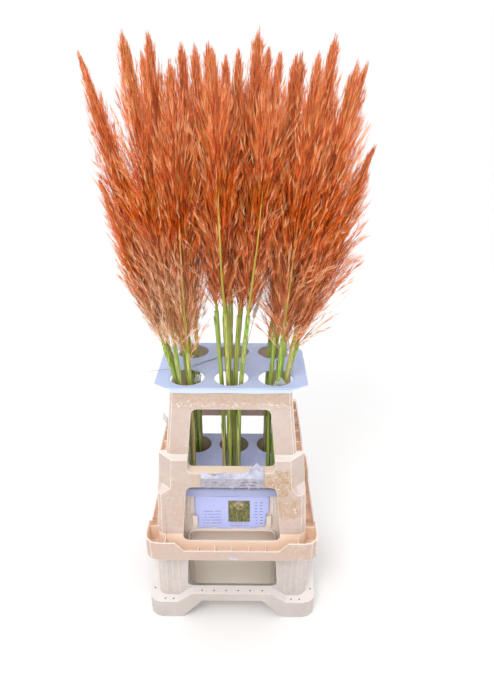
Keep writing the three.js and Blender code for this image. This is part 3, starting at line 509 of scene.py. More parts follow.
class Plant:
    """One cane and its plume, read from their two CAD nodes."""

    def __init__(self, name):
        self.name = name
        self.bunch = name.split("_")[1]
        cane = vertices_of("stem_" + name)
        plume = vertices_of("plume_" + name)
        at_sheet = cane[np.abs(cane[:, 2] - SHEET_TOP) < 0.5]
        self.at = (at_sheet[:, :2].min(0) + at_sheet[:, :2].max(0)) / 2
        self.tip = plume[plume[:, 2].argmax()]
        self.foot = plume[:, 2].min()
        self.height = self.tip[2] - self.foot
        self.stout = min(1.0, (self.height / PLUME_FULL_HEIGHT) ** 1.3) * GIRTH.get(name, 1.0)

    def axis(self, z):
        """Places on the axis, one for each height."""
        height = self.tip[2] - SHEET_TOP
        rise = np.maximum(z, STRAIGHT_BELOW) - SHEET_TOP
        above = (1 - BEND_SHARE) * rise / height + BEND_SHARE * (rise / height) ** 2
        settled = np.exp(np.minimum(rise, 0) / SETTLE_DEPTH) - 1
        below = (1 - BEND_SHARE) * (SETTLE_DEPTH / height) * settled
        share = np.where(rise >= 0, above, below)[..., None]
        return self.at + (self.tip[:2] - self.at) * share

    def points(self, z, radius, angle):
        """Points round the axis, each at a height, a distance and an angle."""
        flat = self.axis(z) + radius[..., None] * around(angle)
        height = np.broadcast_to(z[..., None], flat.shape[:-1] + (1,))
        return np.concatenate([flat, height], -1)

    def thickness(self, z):
        share = np.clip((z - self.foot) / self.height, 0, 1)
        swell = np.sin(np.pi * share**OUTLINE_SKEW).clip(0) ** OUTLINE_FULLNESS
        radius = np.maximum(self.stout * PLUME_RADIUS * (OUTLINE_FOOT * (1 - share) + swell), 1.0)
        return np.where(z < self.foot, STEM_FOOT_RADIUS, np.where(z > self.tip[2], 0.0, radius))

    def reach(self, z, angle):
        """How far the plume goes out at a height and angle, where it runs into its neighbours."""
        own = self.thickness(z)
        centre = self.axis(z)
        out = around(angle)
        reach = own.copy()
        for other in PLANTS:
            theirs = other.thickness(z)
            across = other.axis(z) - centre
            gap = np.maximum(np.linalg.norm(across, axis=-1), 1e-6)
            towards = (out * across).sum(-1) / gap
            meeting = np.minimum(gap * own / (own + theirs + 1e-6), gap - STEM_FOOT_RADIUS).clip(1)
            limit = meeting / np.maximum(towards, 1e-6)
            applies = (other is not self) & (theirs > 0) & (towards > 0)
            reach = np.where(applies, np.minimum(reach, limit), reach)
        return reach + PLUME_BLEND * (own - reach)


PLANTS = [Plant(name.removeprefix("stem_")) for name in sorted(NODES) if name.startswith("stem_")]

# ---------------------------------------- plumes

BRANCHES, BRANCH_HAIRS = 104, 62  # with a stalk and a dense tuft of hairs
FLOW_LINES, FLOW_HAIRS = 465, 38  # without a stalk: their hairs fill the plume between its branches
WISPS, WISP_HAIRS = 7, 46  # stand out of the plume
FOOT_TUFTS, FOOT_HAIRS = 7, 64  # spread out round the plume's foot
CURVE_POINTS = 7
CURVE_START = 1.5  # from the axis
RISE, RISE_LOSS = 0.37, 0.45  # of the plume's height: a curve's rise, and how much of it the tip costs
LOOSE_AT, LOOSE_SPAN = 0.8, 0.14  # the share of the height round which plumes are loose
LOOSENESS, SLENDER_LOOSENESS = 0.28, -0.1
SLENDER = ("front_left_1", "front_left_4", "back_left_1")
BOX_SLACK = -12
# How far wisps and foot tufts stand out in each bunch.
WISP_OUT = {"left": 0.78, "middle": 1.0, "right": 1.0}
FOOT_OUT = {"left": 0.85, "middle": 1.0, "right": 1.3}
# How far a plume's rachis bows out to the front, as a share of the way out.
SHOWN_RACHIS = {"front_middle_2": 0.8, "front_middle_5": 0.72, "front_left_5": 0.3, "front_right_2": 0.3}
TUFT_HAIRS = 5  # hairs that share a place, a direction and a tone
HAIR_LENGTH, HAIR_HALF_WIDTH = (17, 50), (0.25, 0.47)
TIP_LENGTH = 130  # hairs get shorter so far below the plume's tip
# Painted shade: how much darker and redder the hairs deep in a plume are made.
PAINTED_DEPTH_SHADE = 0.75


def room_to_box(plant, z, angle):
    """How far a curve may go out and keep its hairs within a few millimetres of the CAD's box."""
    centre = plant.axis(z)
    room = np.full(len(z), 1e9)
    for axis, way in enumerate((np.cos(angle), np.sin(angle))):
        low, high = (corner[axis] / MM for corner in CAD_BOX)
        side = np.where(way > 0, high - centre[:, axis], centre[:, axis] - low)
        room = np.minimum(room, np.maximum(side + BOX_SLACK, 2) / np.maximum(np.abs(way), 1e-6))
    return room


def flow_curves(plant, rng, count, inner):
    """Curves from the rachis out to the plume's outline: (curve, point, xyz). inner is how near
    the rachis they may end, as a share of the way out."""
    root = np.sort(rng.uniform(0.0, 0.93, count))
    angle = np.arange(count) * GOLDEN_ANGLE + rng.uniform(-0.3, 0.3, count)
    end = root + RISE * (1 - RISE_LOSS * root) * rng.uniform(0.7, 1.2, count)
    end = np.maximum(np.minimum(end, 1 - rng.uniform(0, 0.05, count)), root + 0.03)
    low = plant.foot + plant.height * root
    high = plant.foot + plant.height * end.clip(0, 1)
    far = plant.reach(high, angle) * rng.uniform(inner, 1.0, count)
    loose = SLENDER_LOOSENESS if plant.name in SLENDER else LOOSENESS
    far *= 1 + loose * np.exp(-(((end - LOOSE_AT) / LOOSE_SPAN) ** 2))
    far = np.minimum(far, room_to_box(plant, high, angle))
    t = np.linspace(0, 1, CURVE_POINTS)[None, :]
    z = low[:, None] + (high - low)[:, None] * t
    radius = CURVE_START + far[:, None] * t ** rng.uniform(0.85, 1.25, count)[:, None]
    turn = angle[:, None] + rng.uniform(-0.2, 0.2, count)[:, None] * t**2
    return plant.points(z, radius, turn)


def along_curves(curves, which, t):
    """Places and directions on chosen curves at t from 0 to 1."""
    last = curves.shape[1] - 1
    step = np.minimum((t * last).astype(int), last - 1)
    share = (t * last - step)[:, None]
    a, b = curves[which, step], curves[which, step + 1]
    return a + (b - a) * share, normalised(b - a)


def hairs_on(curves, rng, per_curve, top):
    """Hairs along curves, in small tufts: root, middle, tip and half-width, the curve that each
    is on, and its tuft. They get shorter and closer near the plume's top."""
    tufts_each = per_curve // TUFT_HAIRS
    tufts = len(curves) * tufts_each
    tuft = np.repeat(np.arange(tufts), TUFT_HAIRS)
    which = tuft // tufts_each
    count = len(tuft)
    t = (rng.uniform(0.03, 1.0, tufts)[tuft] + rng.normal(0, 0.012, count)).clip(0.02, 1)
    root, tangent = along_curves(curves, which, t)
    random = normalised(rng.normal(size=(tufts, 3))[tuft] + 0.35 * rng.normal(size=(count, 3)))
    sideways = normalised(random - tangent * (random * tangent).sum(-1, keepdims=True))
    left = ((top - root[:, 2]) / TIP_LENGTH).clip(0.12, 1)
    root = root + sideways * (left * rng.uniform(0, 2.4, count))[:, None]
    spread = left * (rng.uniform(0.0, 0.62, tufts) ** 1.5)[tuft] * rng.uniform(0.8, 1.2, count)
    direction = normalised(tangent + sideways * spread[:, None])
    length = left**0.6 * rng.uniform(*HAIR_LENGTH, tufts)[tuft] * rng.uniform(0.7, 1.15, count)
    length *= 1.1 - 0.4 * t
    width = rng.uniform(*HAIR_HALF_WIDTH, count)[:, None]
    flat = normalised(np.cross(direction, normalised(rng.normal(size=(count, 3))))) * width
    middle = root + direction * length[:, None] * 0.4
    tip = root + direction * length[:, None] - sideways * (length * spread)[:, None] * 0.25
    return root, middle, tip, flat, which, tuft


def bent_hairs(root, middle, tip, flat):
    """Kites of two triangles, which bend in the middle."""
    corners = np.stack([root, middle + flat, middle - flat, tip], 1)
    return corners, np.array([[0, 1, 2], [1, 3, 2]]), [0.0, 0.35, 0.35, 1.0]


def straight_hairs(root, middle, tip, flat):
    """Single slim triangles, for the hairs that lie behind others."""
    corners = np.stack([root + flat, root - flat, tip], 1)
    return corners, np.array([[0, 2, 1]]), [0.0, 0.0, 1.0]


def tuft_curves(plant, angle, root, rise, out):
    """Curves that leave the rachis at a share of its height, rise so many millimetres, and end
    so many times the plume's own radius away from it."""
    low = plant.foot + plant.height * root
    far = np.minimum(plant.thickness(low + rise) * out, room_to_box(plant, low + rise, angle))
    t = np.linspace(0, 1, CURVE_POINTS)[None, :]
    return plant.points(
        low[:, None] + rise[:, None] * t**0.9, CURVE_START + far[:, None] * t**1.15, angle[:, None],
    )


def wisp_curves(plant, rng):
    """A few long side branches that stand out of the plume, on the head's outer side."""
    outward = math.atan2(plant.tip[1] - 20, plant.tip[0])
    angle = outward + rng.normal(0, 0.5, WISPS)
    root, rise = rng.uniform(0.1, 0.6, WISPS), rng.uniform(70, 125, WISPS)
    out = WISP_OUT[plant.bunch] * rng.uniform(1.1, 1.4, WISPS)
    return tuft_curves(plant, angle, root, rise, out)


def foot_curves(plant, rng):
    """Loose tufts round the foot of the plume, to all sides. Those of the outer bunches start
    a little lower."""
    angle = (np.arange(FOOT_TUFTS) + rng.uniform(0, 0.6, FOOT_TUFTS)) / FOOT_TUFTS * 2 * np.pi
    low = 0.0 if plant.bunch == "middle" else -0.06
    root, rise = rng.uniform(low, 0.1 + low, FOOT_TUFTS), rng.uniform(60, 125, FOOT_TUFTS)
    out = FOOT_OUT[plant.bunch] * rng.uniform(0.6, 1.1, FOOT_TUFTS)
    return tuft_curves(plant, angle, root, rise, out)


def sprig_rings():
    """The heights and centres of the rings that the CAD's dry sprig is made of."""
    points = vertices_of("dry_sprig")
    levels = np.unique(points[:, 2].round(1))
    return levels, np.array([points[abs(points[:, 2] - level) < 0.2].mean(0) for level in levels])


SPRIG_LEVELS, SPRIG_CENTRES = sprig_rings()
SPRIG_HEAD = (780, 945)
SPRIG_ROOM = {"beside": 9, "behind": 10, "before": 110}


def clear_of_sprig(points):
    """False for points close to the sprig's head or in front of it, so it stands in a gap."""
    x, y, _ = along_line(SPRIG_CENTRES, SPRIG_LEVELS, points[:, 2]).T
    beside, before = abs(points[:, 0] - x), y - points[:, 1]
    height = (points[:, 2] > SPRIG_HEAD[0]) & (points[:, 2] < SPRIG_HEAD[1])
    near = (before > -SPRIG_ROOM["behind"]) & (before < SPRIG_ROOM["before"])
    return ~(height & (beside < SPRIG_ROOM["beside"]) & near)


def rachis_curve(plant):
    """The stalk inside the plume. On some plumes it bows out to the front and shows."""
    levels = np.linspace(plant.foot, plant.foot + plant.height * 0.96, 24)
    spine = np.concatenate([plant.axis(levels), levels[:, None]], -1)
    share = np.linspace(0, 1, 24)
    bow = SHOWN_RACHIS.get(plant.name, 0.0) * np.sin(np.pi * share.clip(0, 0.6) / 0.6) ** 0.7
    spine[:, 1] -= bow * plant.reach(levels, np.full(24, -np.pi / 2))
    return spine[None]


def slim(thick, thin, points, taper):
    """Radii along a curve. A taper under 1 brings most of the slimming early."""
    return thick + (thin - thick) * np.linspace(0, 1, points) ** taper


def plume(plant, seed, material):
    """All of a plume's hairs, its branches' stalks and its rachis, as one piece."""
    rng = np.random.default_rng(seed)
    size = 0.3 + 0.7 * plant.height / PLUME_FULL_HEIGHT
    branches = flow_curves(plant, rng, int(BRANCHES * size), inner=0.8)
    flow = flow_curves(plant, rng, int(FLOW_LINES * size), inner=0.25)
    wisps, tufts = wisp_curves(plant, rng), foot_curves(plant, rng)
    parts = Parts()
    for curves, per_curve, tone, shape in (
        (branches, BRANCH_HAIRS, 0.54, bent_hairs), (flow, FLOW_HAIRS, 0.48, straight_hairs),
        (wisps, WISP_HAIRS, 0.6, bent_hairs), (tufts, FOOT_HAIRS, 0.62, bent_hairs),
    ):
        hairs = hairs_on(curves, rng, per_curve, plant.tip[2])
        shown = clear_of_sprig(hairs[1]) & clear_of_sprig(hairs[2])
        root, middle, tip, flat, which, tuft = (values[shown] for values in hairs)
        # Painted shade: hairs deep inside the plume are made redder and darker, as where the light does
        # not reach.
        depth = np.linalg.norm(middle[:, :2] - plant.axis(middle[:, 2]), axis=1)
        depth /= np.maximum(plant.thickness(middle[:, 2]), 6)
        tones = rng.normal(tone, 0.12, len(curves))[which] + rng.normal(0, 0.15, len(which))
        tones += rng.normal(0, 0.32, tuft.max() + 1)[tuft]
        tones += PAINTED_DEPTH_SHADE * (depth.clip(0, 1.1) - 0.6)
        corners, pattern, along = shape(root, middle, tip, flat)
        strand = np.ones(corners.shape[:2] + (4,), np.float32)
        strand[..., 0] = tones[:, None]
        strand[..., 1] = along
        parts.add(corners, repeat_faces(pattern, len(which), len(along)), strand.reshape(-1, 4))
    stalks = np.concatenate([branches, wisps, tufts])
    parts.add(*tubes(stalks, slim(0.7, 0.2, CURVE_POINTS, 1.0), 3), (0.35, 0.2, 1.0, 1.0))
    rachis = rachis_curve(plant)
    radii = slim(STEM_TOP_RADIUS * 0.9, 0.4, rachis.shape[1], 0.35)
    parts.add(*tubes(rachis, radii, 3), (0.35, 0.2, 1.0, 0.0))
    points, faces, strand = parts.joined()
    strand[:, 2] = (points[:, 2] - plant.foot) / plant.height
    piece = new_mesh("plume_" + plant.name + "_hair", points, faces, material, smooth=False)
    mark_points(piece, "strand", strand.clip(0, 1))
    add_piece(piece, "plume", "plume_" + plant.name)


CANE_SIDES = 12
HUSK_ROWS, HUSK_COLUMNS = 16, 7
UPPER_JOINT_FROM = 560  # the husk of the joint below this is the drier one


def cane(plant, seed, material):
    """A round cane with a swelling at each joint, and a husk that wraps it above each joint."""
    rng = np.random.default_rng(1000 + seed)
    joints = np.sort(rng.uniform([300, UPPER_JOINT_FROM], [500, plant.foot - 60]))
    z = np.unique(np.concatenate([
        np.linspace(STEM_FOOT, plant.foot - 0.3, 60),
        *[joint + np.array([-5, -2, 0, 2, 5]) for joint in joints],
    ]))

    def cane_radius(z):
        radius = np.interp(z, [STEM_FOOT, plant.foot], [STEM_FOOT_RADIUS, STEM_TOP_RADIUS]) * 0.94
        return radius + sum(0.5 * np.exp(-(((z - joint) / 2.2) ** 2)) for joint in joints)

    def dry(share):
        return np.stack([0 * share, share, 0 * share, 0 * share + 1], -1)

    turn = np.broadcast_to(np.arange(CANE_SIDES) / CANE_SIDES * 2 * np.pi, (len(z), CANE_SIDES))
    ring = np.exp(-(((z[:, None] - joints) / 3.0) ** 2)).max(1) * 0.8
    parts = Parts()
    parts.add(
        plant.points(z[:, None], np.broadcast_to(cane_radius(z)[:, None], turn.shape), turn),
        tube_faces(len(z), CANE_SIDES), dry(np.repeat(ring, CANE_SIDES)),
    )
    for joint in joints:
        t = np.linspace(0, 1, HUSK_ROWS)
        across = np.linspace(-1, 1, HUSK_COLUMNS)[None]
        length = min(rng.uniform(90, 190), plant.foot - joint - 6)
        half = np.radians(rng.uniform(75, 120)) * (1 - t) ** 0.5 + 0.04
        middle = rng.uniform(0, 2 * np.pi) + 0.3 * t
        turn = middle[:, None] + half[:, None] * across
        stand_off = 0.5 + rng.uniform(0.5, 3.0) * t**4
        husk_z = joint + 1 + length * t
        radius = (cane_radius(husk_z) + stand_off)[:, None] + 0.5 * across**4
        dryness = rng.uniform(0.2, 1.0) if joint < UPPER_JOINT_FROM else rng.uniform(0.0, 0.45)
        parts.add(
            plant.points(husk_z[:, None], radius, turn),
            grid_faces(HUSK_ROWS, HUSK_COLUMNS), dry(np.float64(dryness)),
        )
    points, faces, mark = parts.joined()
    mark[:, 0] = rng.uniform(0, 1)
    piece = new_mesh("cane_" + plant.name, points, faces, material)
    mark_points(piece, "cane", mark)
    add_piece(piece, "stem", "stem_" + plant.name)


HAIR = plume_material()
CANE = stem_material()
for index, plant in enumerate(PLANTS):
    plume(plant, index, HAIR)
    cane(plant, index, CANE)

# ---------------------------------------- the container

EDGE_ROUNDING = 0.9
FLAT_WITHIN = 0.8  # degrees
EDGE_OVER = 28  # degrees


def softened(node, material, edge_material, slot):
    """The CAD piece with its small flat faces joined, and its edges rounded and given a painted highlight.
    """
    mesh = NODES[node].data.copy()
    join_points(mesh, 0.02, FLAT_WITHIN)
    piece = dress(node + "_moulding", mesh, material, smooth=False)
    mesh.materials.append(edge_material)
    bevel = piece.modifiers.new("round", "BEVEL")
    bevel.width = EDGE_ROUNDING * MM
    bevel.segments = 2
    bevel.limit_method = "ANGLE"
    bevel.angle_limit = math.radians(EDGE_OVER)
    bevel.use_clamp_overlap = False
    bevel.harden_normals = True
    # The rounded edges take the second material, which carries a painted highlight.
    bevel.material = 1
    apply_modifiers(piece)
    add_piece(piece, slot, node)


CREAM = [(210, 200, 195), (194, 184, 178), (176, 144, 104), 0.5]
BEIGE = [(217, 198, 189), (204, 183, 172), (182, 148, 108), 1.0]
# These three colours are painted light: the neck made paler, and a warm glow, as of light through the thin
# plastic, in the channels and on the flanks.
PAINTED_NECK_LIGHT, PAINTED_GLOW, PAINTED_FLANK_GLOW = (240, 222, 210), (255, 231, 211), (244, 220, 203)
OCHRE, DARK_OCHRE, LILAC = (190, 154, 118), (112, 80, 52), (206, 210, 250)
TAN, SCUFF = (202, 178, 160), (255, 250, 246)
# Each patch: its rectangle, its colour, how sparse its flecks are, and their strength.
BEIGE_PATCHES = [
    ((-150, 152, 630, 692), TAN, 0.44, 0.7), ((-110, 110, 400, 470), TAN, 0.42, 0.7),
    ((-166, -112, 500, 570), TAN, 0.46, 0.6), ((140, 196, 230, 320), TAN, 0.46, 0.6),
    ((-152, 154, 642, 692), TAN, 0.36, 0.8), ((-130, 140, 650, 688), OCHRE, 0.5, 0.6),
    ((-150, 152, 640, 646), SCUFF, 0.5, 0.7), ((-125, -60, 640, 672), SCUFF, 0.56, 0.8),
    ((60, 130, 636, 650), SCUFF, 0.54, 0.8), ((-150, 150, 560, 640), TAN, 0.52, 0.5),
    ((-146, -100, 500, 640), OCHRE, 0.6, 0.4), ((84, 152, 396, 476), TAN, 0.38, 0.9),
    ((84, 152, 396, 474), OCHRE, 0.45, 0.9), ((100, 150, 372, 456), DARK_OCHRE, 0.56, 0.85),
    ((84, 150, 380, 470), SCUFF, 0.56, 0.95), ((112, 182, 326, 396), TAN, 0.34, 0.95),
    ((112, 176, 330, 386), OCHRE, 0.47, 0.8), ((112, 180, 328, 392), SCUFF, 0.57, 0.9),
    ((-190, -110, 300, 440), TAN, 0.42, 0.8), ((-168, -112, 250, 420), OCHRE, 0.6, 0.4),
    ((106, 222, 212, 266), TAN, 0.42, 0.9), ((130, 222, 212, 262), OCHRE, 0.52, 0.6),
    ((120, 222, 212, 262), SCUFF, 0.6, 0.6), ((-228, 106, 205, 272), TAN, 0.4, 0.7),
    ((-5, 15, 211, 221), LILAC, 0.3, 0.9),
]
# Painted light: the neck is made paler where it lies in shade. Painted shade: the bucket is browner near
# its rim.
BASE_INNER = ((neck_wall, PAINTED_NECK_LIGHT), (bucket_wall, bucket_colour))
# Painted light: a warm glow on the upper tier's flanks, in its channels and on the sill.
UPPER_INNER = ((flanks, PAINTED_FLANK_GLOW), (upper_channels, PAINTED_GLOW))
softened(
    "base_container", moulded_plastic("cream_plastic", *CREAM, inner=BASE_INNER),
    moulded_plastic("cream_plastic_edge_highlight", *CREAM, painted_highlight_strength=0.5), "base_plastic",
)
softened(
    "upper_frame", moulded_plastic("beige_plastic", *BEIGE, BEIGE_PATCHES, inner=UPPER_INNER),
    moulded_plastic("beige_plastic_edge_highlight", *BEIGE, painted_highlight_strength=1.0), "upper_plastic",
)


def low_domes(name, centres, facing, radius, height, material):
    """Small round domes on the base, which all face the same way."""
    rings, sides = 4, 10
    facing = normalised(np.array(facing, float))
    side = normalised(np.cross(facing, [0.3, 0.2, 0.93]))
    turn = np.arange(sides) / sides * 2 * np.pi
    flat = np.cos(turn)[:, None] * side + np.sin(turn)[:, None] * np.cross(facing, side)
    points = [
        centre + flat * radius * math.cos(tilt) + facing * height * math.sin(tilt)
        for centre in np.array(centres) for tilt in np.linspace(0, np.pi / 2, rings)
    ]
    faces = repeat_faces(tube_faces(rings, sides), len(centres), rings * sides)
    add_piece(new_mesh(name, points, faces, material), "base_plastic")


NECK_LEVELS, NECK_FRONTS = (199.7, 339.7, 381.7), (145.5, 129.6, 127.0)
BUMP_COLUMNS, BUMP_HEIGHTS = (110.5, 119), np.linspace(300, 354, 7)


def grip_bumps():
    """Two columns of bumps on each side of the label card, on the neck's front face."""
    centres = [
        (side * x, -np.interp(z, NECK_LEVELS, NECK_FRONTS), z)
        for side in (-1, 1) for x in BUMP_COLUMNS for z in BUMP_HEIGHTS
    ]
    # The bumps get a painted highlight all over.
    material = moulded_plastic("bump_plastic", *CREAM, painted_highlight_strength=1.0)
    low_domes("grip_bumps", centres, (0, -1, 0.08), 2.6, 1.6, material)


LEDGE_Z, FOOT_Z = 89.0, 57.0  # the flange's high middles and its low corners
HOLES_Y, HOLES_X = 196.5, 219.5
HOLE_ROW = np.arange(-2.5, 3) * 33.2


def drain_holes():
    """The drain holes along the base's flange, as flat dark domes."""
    centres = []
    for side in (-1, 1):
        for offset in HOLE_ROW:
            centres.append((offset, side * HOLES_Y, LEDGE_Z))
            centres.append((side * HOLES_X, offset * 0.95, LEDGE_Z))
        centres += [(offset, side * HOLES_Y, FOOT_Z) for offset in (-186, -163, 163, 186)]
        centres += [(side * HOLES_X, offset, FOOT_Z) for offset in (-160, 160)]
    dark = Shader("hole_shadow", 0.8)
    speckle = dark.noise(600, 2).ramp((0.4, (62, 50, 44)), (0.6, (104, 88, 78)))
    low_domes("drain_holes", centres, (0, 0, 1), 2.3, 0.2, dark.finished(speckle))


grip_bumps()
drain_holes()

# ---------------------------------------- stem sheets

FOLD_X, FOLD_Y = 156, 131
FLAP_REACH = {"upper": 190, "lower": 181}
FLAP_DROOP = {"upper": 6, "lower": 11}
SHEET_Z = {"upper": 690, "lower": 385}
CORNER_CUT_Y = 97
HANGING_DEPTH = {"upper": 14, "lower": 24}
HANGING_HALF_WIDTH = FOLD_X - 6
SIDE_BEND, HANGING_BEND = 10, 2.2  # radii
FLAP_START = FOLD_Y - HANGING_BEND  # where the front and back flaps begin to bend
HOLE_PITCH, HOLE_Y, HOLE_RADIUS = 110, 75.4, 43
BOARD = 2.8
FLUTE_PITCH = 4.5


def sheet_plastic(name, pale, deep, painted_flap_shading):
    """Fluted plastic board: faint flutes run from front to back. The last argument is the flaps' colour,
    which is painted light on the upper sheet and painted shade on the lower one.
    """
    shader = Shader(name, 0.42, IOR=1.49)
    across, along, _ = shader.place()
    body = shader.noise(14, 4, 0.6).ramp((0.3, deep), (0.7, pale))
    body = body.covered((236, 240, 252), shader.noise(38, 5, 0.7), 0.62, 0.75, 0.3)
    # The flaps get their own colour: a painted highlight on the upper sheet, painted shade on the lower
    # one.
    body = body.mixed((abs(along) > FLAP_START) * 0.85, painted_flap_shading)
    body = body.covered((148, 138, 140), shader.noise(330, 2, 0.6), 0.66, 0.74, 0.5)
    flutes = (across * (2 * math.pi / FLUTE_PITCH)).math("SINE")
    return shader.finished(body, shader.noise(70, 4).ramp((0.3, 0.34), (0.7, 0.6)), (flutes, 0.12, 0.0005))


def flat_with_holes():
    """The middle of a sheet, flat, with its six round holes: points and triangles."""
    work = bmesh.new()

    def loop(points):
        corners = [work.verts.new((x, y, 0)) for x, y in points]
        return [work.edges.new((a, b)) for a, b in zip(corners, corners[1:] + corners[:1])]

    along = np.linspace(-1, 1, 33)
    x, y = FOLD_X * along, FOLD_Y * along
    rim = [(u, -FOLD_Y) for u in x[:-1]] + [(FOLD_X, v) for v in y[:-1]]
    rim += [(-u, FOLD_Y) for u in x[:-1]] + [(-FOLD_X, -v) for v in y[:-1]]
    edges = loop(rim)
    circle = HOLE_RADIUS * around(np.linspace(0, 2 * np.pi, 72, endpoint=False))
    for column in (-HOLE_PITCH, 0, HOLE_PITCH):
        for row in (-HOLE_Y, HOLE_Y):
            edges += loop(circle + [column, row])
    bmesh.ops.triangle_fill(work, use_beauty=True, use_dissolve=False, edges=edges, normal=(0, 0, 1))
    work.verts.index_update()
    points = np.array([vert.co for vert in work.verts])
    faces = np.array([[vert.index for vert in face.verts] for face in work.faces])
    work.free()
    return points, faces


def side_flap(length, drop):
    """A side flap's outline from the fold, as (out, down): a round bend, then a straight flap."""
    turn = np.linspace(0, math.atan2(drop, length), 5)
    out, down = SIDE_BEND * np.sin(turn), SIDE_BEND * (1 - np.cos(turn))
    share = np.linspace(0, 1, 6)[1:]
    out = np.concatenate([out, out[-1] + (length - out[-1]) * share])
    down = np.concatenate([down, down[-1] + (drop - down[-1]) * share])
    return zip(out, down)


def hanging_flap(depth):
    """The same for a flap that hangs straight down."""
    turn = np.linspace(0, math.pi / 2, 6)
    out = np.concatenate([HANGING_BEND * np.sin(turn), np.full(5, HANGING_BEND)])
    down = np.concatenate([HANGING_BEND * (1 - np.cos(turn)), np.linspace(4, depth, 5)])
    return zip(out, down)


def stem_board(tier, material):
    """A fluted sheet, with drooping side flaps and a flap folded down at the front and back."""
    parts = Parts()
    parts.add(*flat_with_holes())
    reach = FLAP_REACH[tier] - FOLD_X
    for side in (1, -1):
        columns = []
        for u, v in side_flap(reach, FLAP_DROOP[tier]):
            half = FOLD_Y + (CORNER_CUT_Y - FOLD_Y) * u / reach
            y = np.linspace(-half, half, 33)
            wave = 0.5 * np.sin(y / 31 + side) * (u / reach)
            columns.append(np.stack([0 * y + side * (FOLD_X + u), y, wave - v], -1))
        parts.add(columns, grid_faces(len(columns), 33))
    depth = HANGING_DEPTH[tier]
    for side in (1, -1):
        rows = []
        for u, v in hanging_flap(depth):
            x = np.linspace(-1, 1, 41) * (HANGING_HALF_WIDTH - 0.35 * max(v - 2, 0))
            ragged = 0.8 * np.sin(x / 23 + side) * (v / depth)
            rows.append(np.stack([x, 0 * x + side * (FLAP_START + u), -v - ragged], -1))
        parts.add(np.swapaxes(rows, 0, 1), grid_faces(41, len(rows)))
    points, triangles, _ = parts.joined()
    points = points + [0, 0, SHEET_Z[tier]]
    # Every face looks up or out before the sheet is given its thickness.
    a, b, c = (points[triangles[:, i]] for i in range(3))
    normal = np.cross(b - a, c - a)
    y = (a + b + c)[:, 1] / 3
    outward = normal[:, 2] + 0.02 * normal[:, 1] * np.sign(y) * (abs(y) > FOLD_Y - 3)
    triangles = np.where((outward < 0)[:, None], triangles[:, ::-1], triangles)
    piece = new_mesh(tier + "_sheet_board", points, triangles, material)
    join_points(piece.data, 0.01)
    thicken(piece, BOARD)
    piece.data.set_sharp_from_angle(angle=math.radians(35))
    add_piece(piece, "sheet_plastic", tier + "_stem_sheet")


# Each tier: pale, deep, and the flaps' colour, which is a whiter painted highlight on the upper sheet and
# darker painted shade on the lower one.
SHEET_COLOURS = {
    "upper": [(200, 216, 255), (190, 206, 253), (212, 225, 255)],
    "lower": [(202, 212, 254), (188, 200, 250), (178, 184, 224)],
}
for tier, colours in SHEET_COLOURS.items():
    stem_board(tier, sheet_plastic(tier + "_sheet_plastic", *colours))

# ---------------------------------------- paper and film

CARD_HALF_WIDTH, CARD_FOOT, CARD_HEIGHT = 100, 261, 99
CARD_STEP, CARD_RIGHT_STEP = 6, 7
# Blocks of lettering on the card: their width, their heights and how dark they are.
CARD_PRINT = (
    ((-80, -28), (274, 318), 0.5), ((60, 68), (276, 350), 0.6), ((74, 84), (276, 350), 0.6),
    ((-6, 44), (268, 278), 0.6),
)
FLOWER, FLOWER_RADIUS = (19, -135, 334), 17


def card_print():
    """Pale lilac card with plain bars for lettering and a picture of an unnamed plant."""
    shader = Shader("label_print", 0.36, IOR=1.5)
    body = shader.noise(30).ramp((0.0, (196, 202, 250)), (1.0, (184, 192, 244)))
    green = shader.noise(170, 5, 0.75, (1, 1, 0.4), 2.0).ramp(
        (0.34, (38, 40, 22)), (0.52, (104, 108, 46)), (0.68, (196, 176, 128)),
    )
    body = body.mixed(shader.block((-10, 48), (281, 348)), green)
    away = length([value - middle for value, middle in zip(shader.place(), FLOWER)])
    flower = (away * (1 / FLOWER_RADIUS)).ramp((0.5, 1.0), (1.0, 0.0))
    body = body.mixed(flower * shader.noise(90, 4).ramp((0.4, 0.0), (0.6, 0.9)), (206, 178, 160))
    letters = shader.rows_of_print(9.2, 0.3, shader.noise(150, 2, stretch=(1, 1, 0.2)), 0.42)
    for across, heights, ink in CARD_PRINT:
        body = body.mixed(shader.block(across, heights) * letters * ink, (70, 84, 120))
    return shader.finished(body)


def label_card():
    """The card behind the holder's clips, stepped at its lower corners and a little wavy below."""
    columns, rows = 61, 31
    u, v = unit_grid(columns, rows)
    u = 2 * u - 1
    # Below the middle the right half is narrower, and both lower corners taper in.
    step = np.where(v < 0.5, CARD_RIGHT_STEP, 0) * (u > 0) + CARD_STEP * (1 - v / 0.3).clip(0, 1)
    x = u * (CARD_HALF_WIDTH - step)
    waves = 1.8 * np.sin(u * 9) + 1.2 * np.sin(u * 23) + 3.5 * abs(u) ** 3
    z = CARD_FOOT + CARD_HEIGHT * v + (1 - v) * waves
    y = -129.6 - 10.2 * (1 - v) - 0.5 + 0.5 * np.sin(u * 3.1 + 1) * (1 - v)
    points = np.stack([x, y, z], -1)
    piece = new_mesh("label_card_sheet", points, grid_faces(columns, rows), card_print())
    thicken(piece, 0.5)
    add_piece(piece, "label_card", "label_card")


PAPER_LEFT, PAPER_WIDTH, PAPER_FOOT, PAPER_TOP = -76, 158, 427, 466.5
PAPER_PEAK = 31
PAPER_FOLDS = 9
PAPER_GREY_BELOW = 459


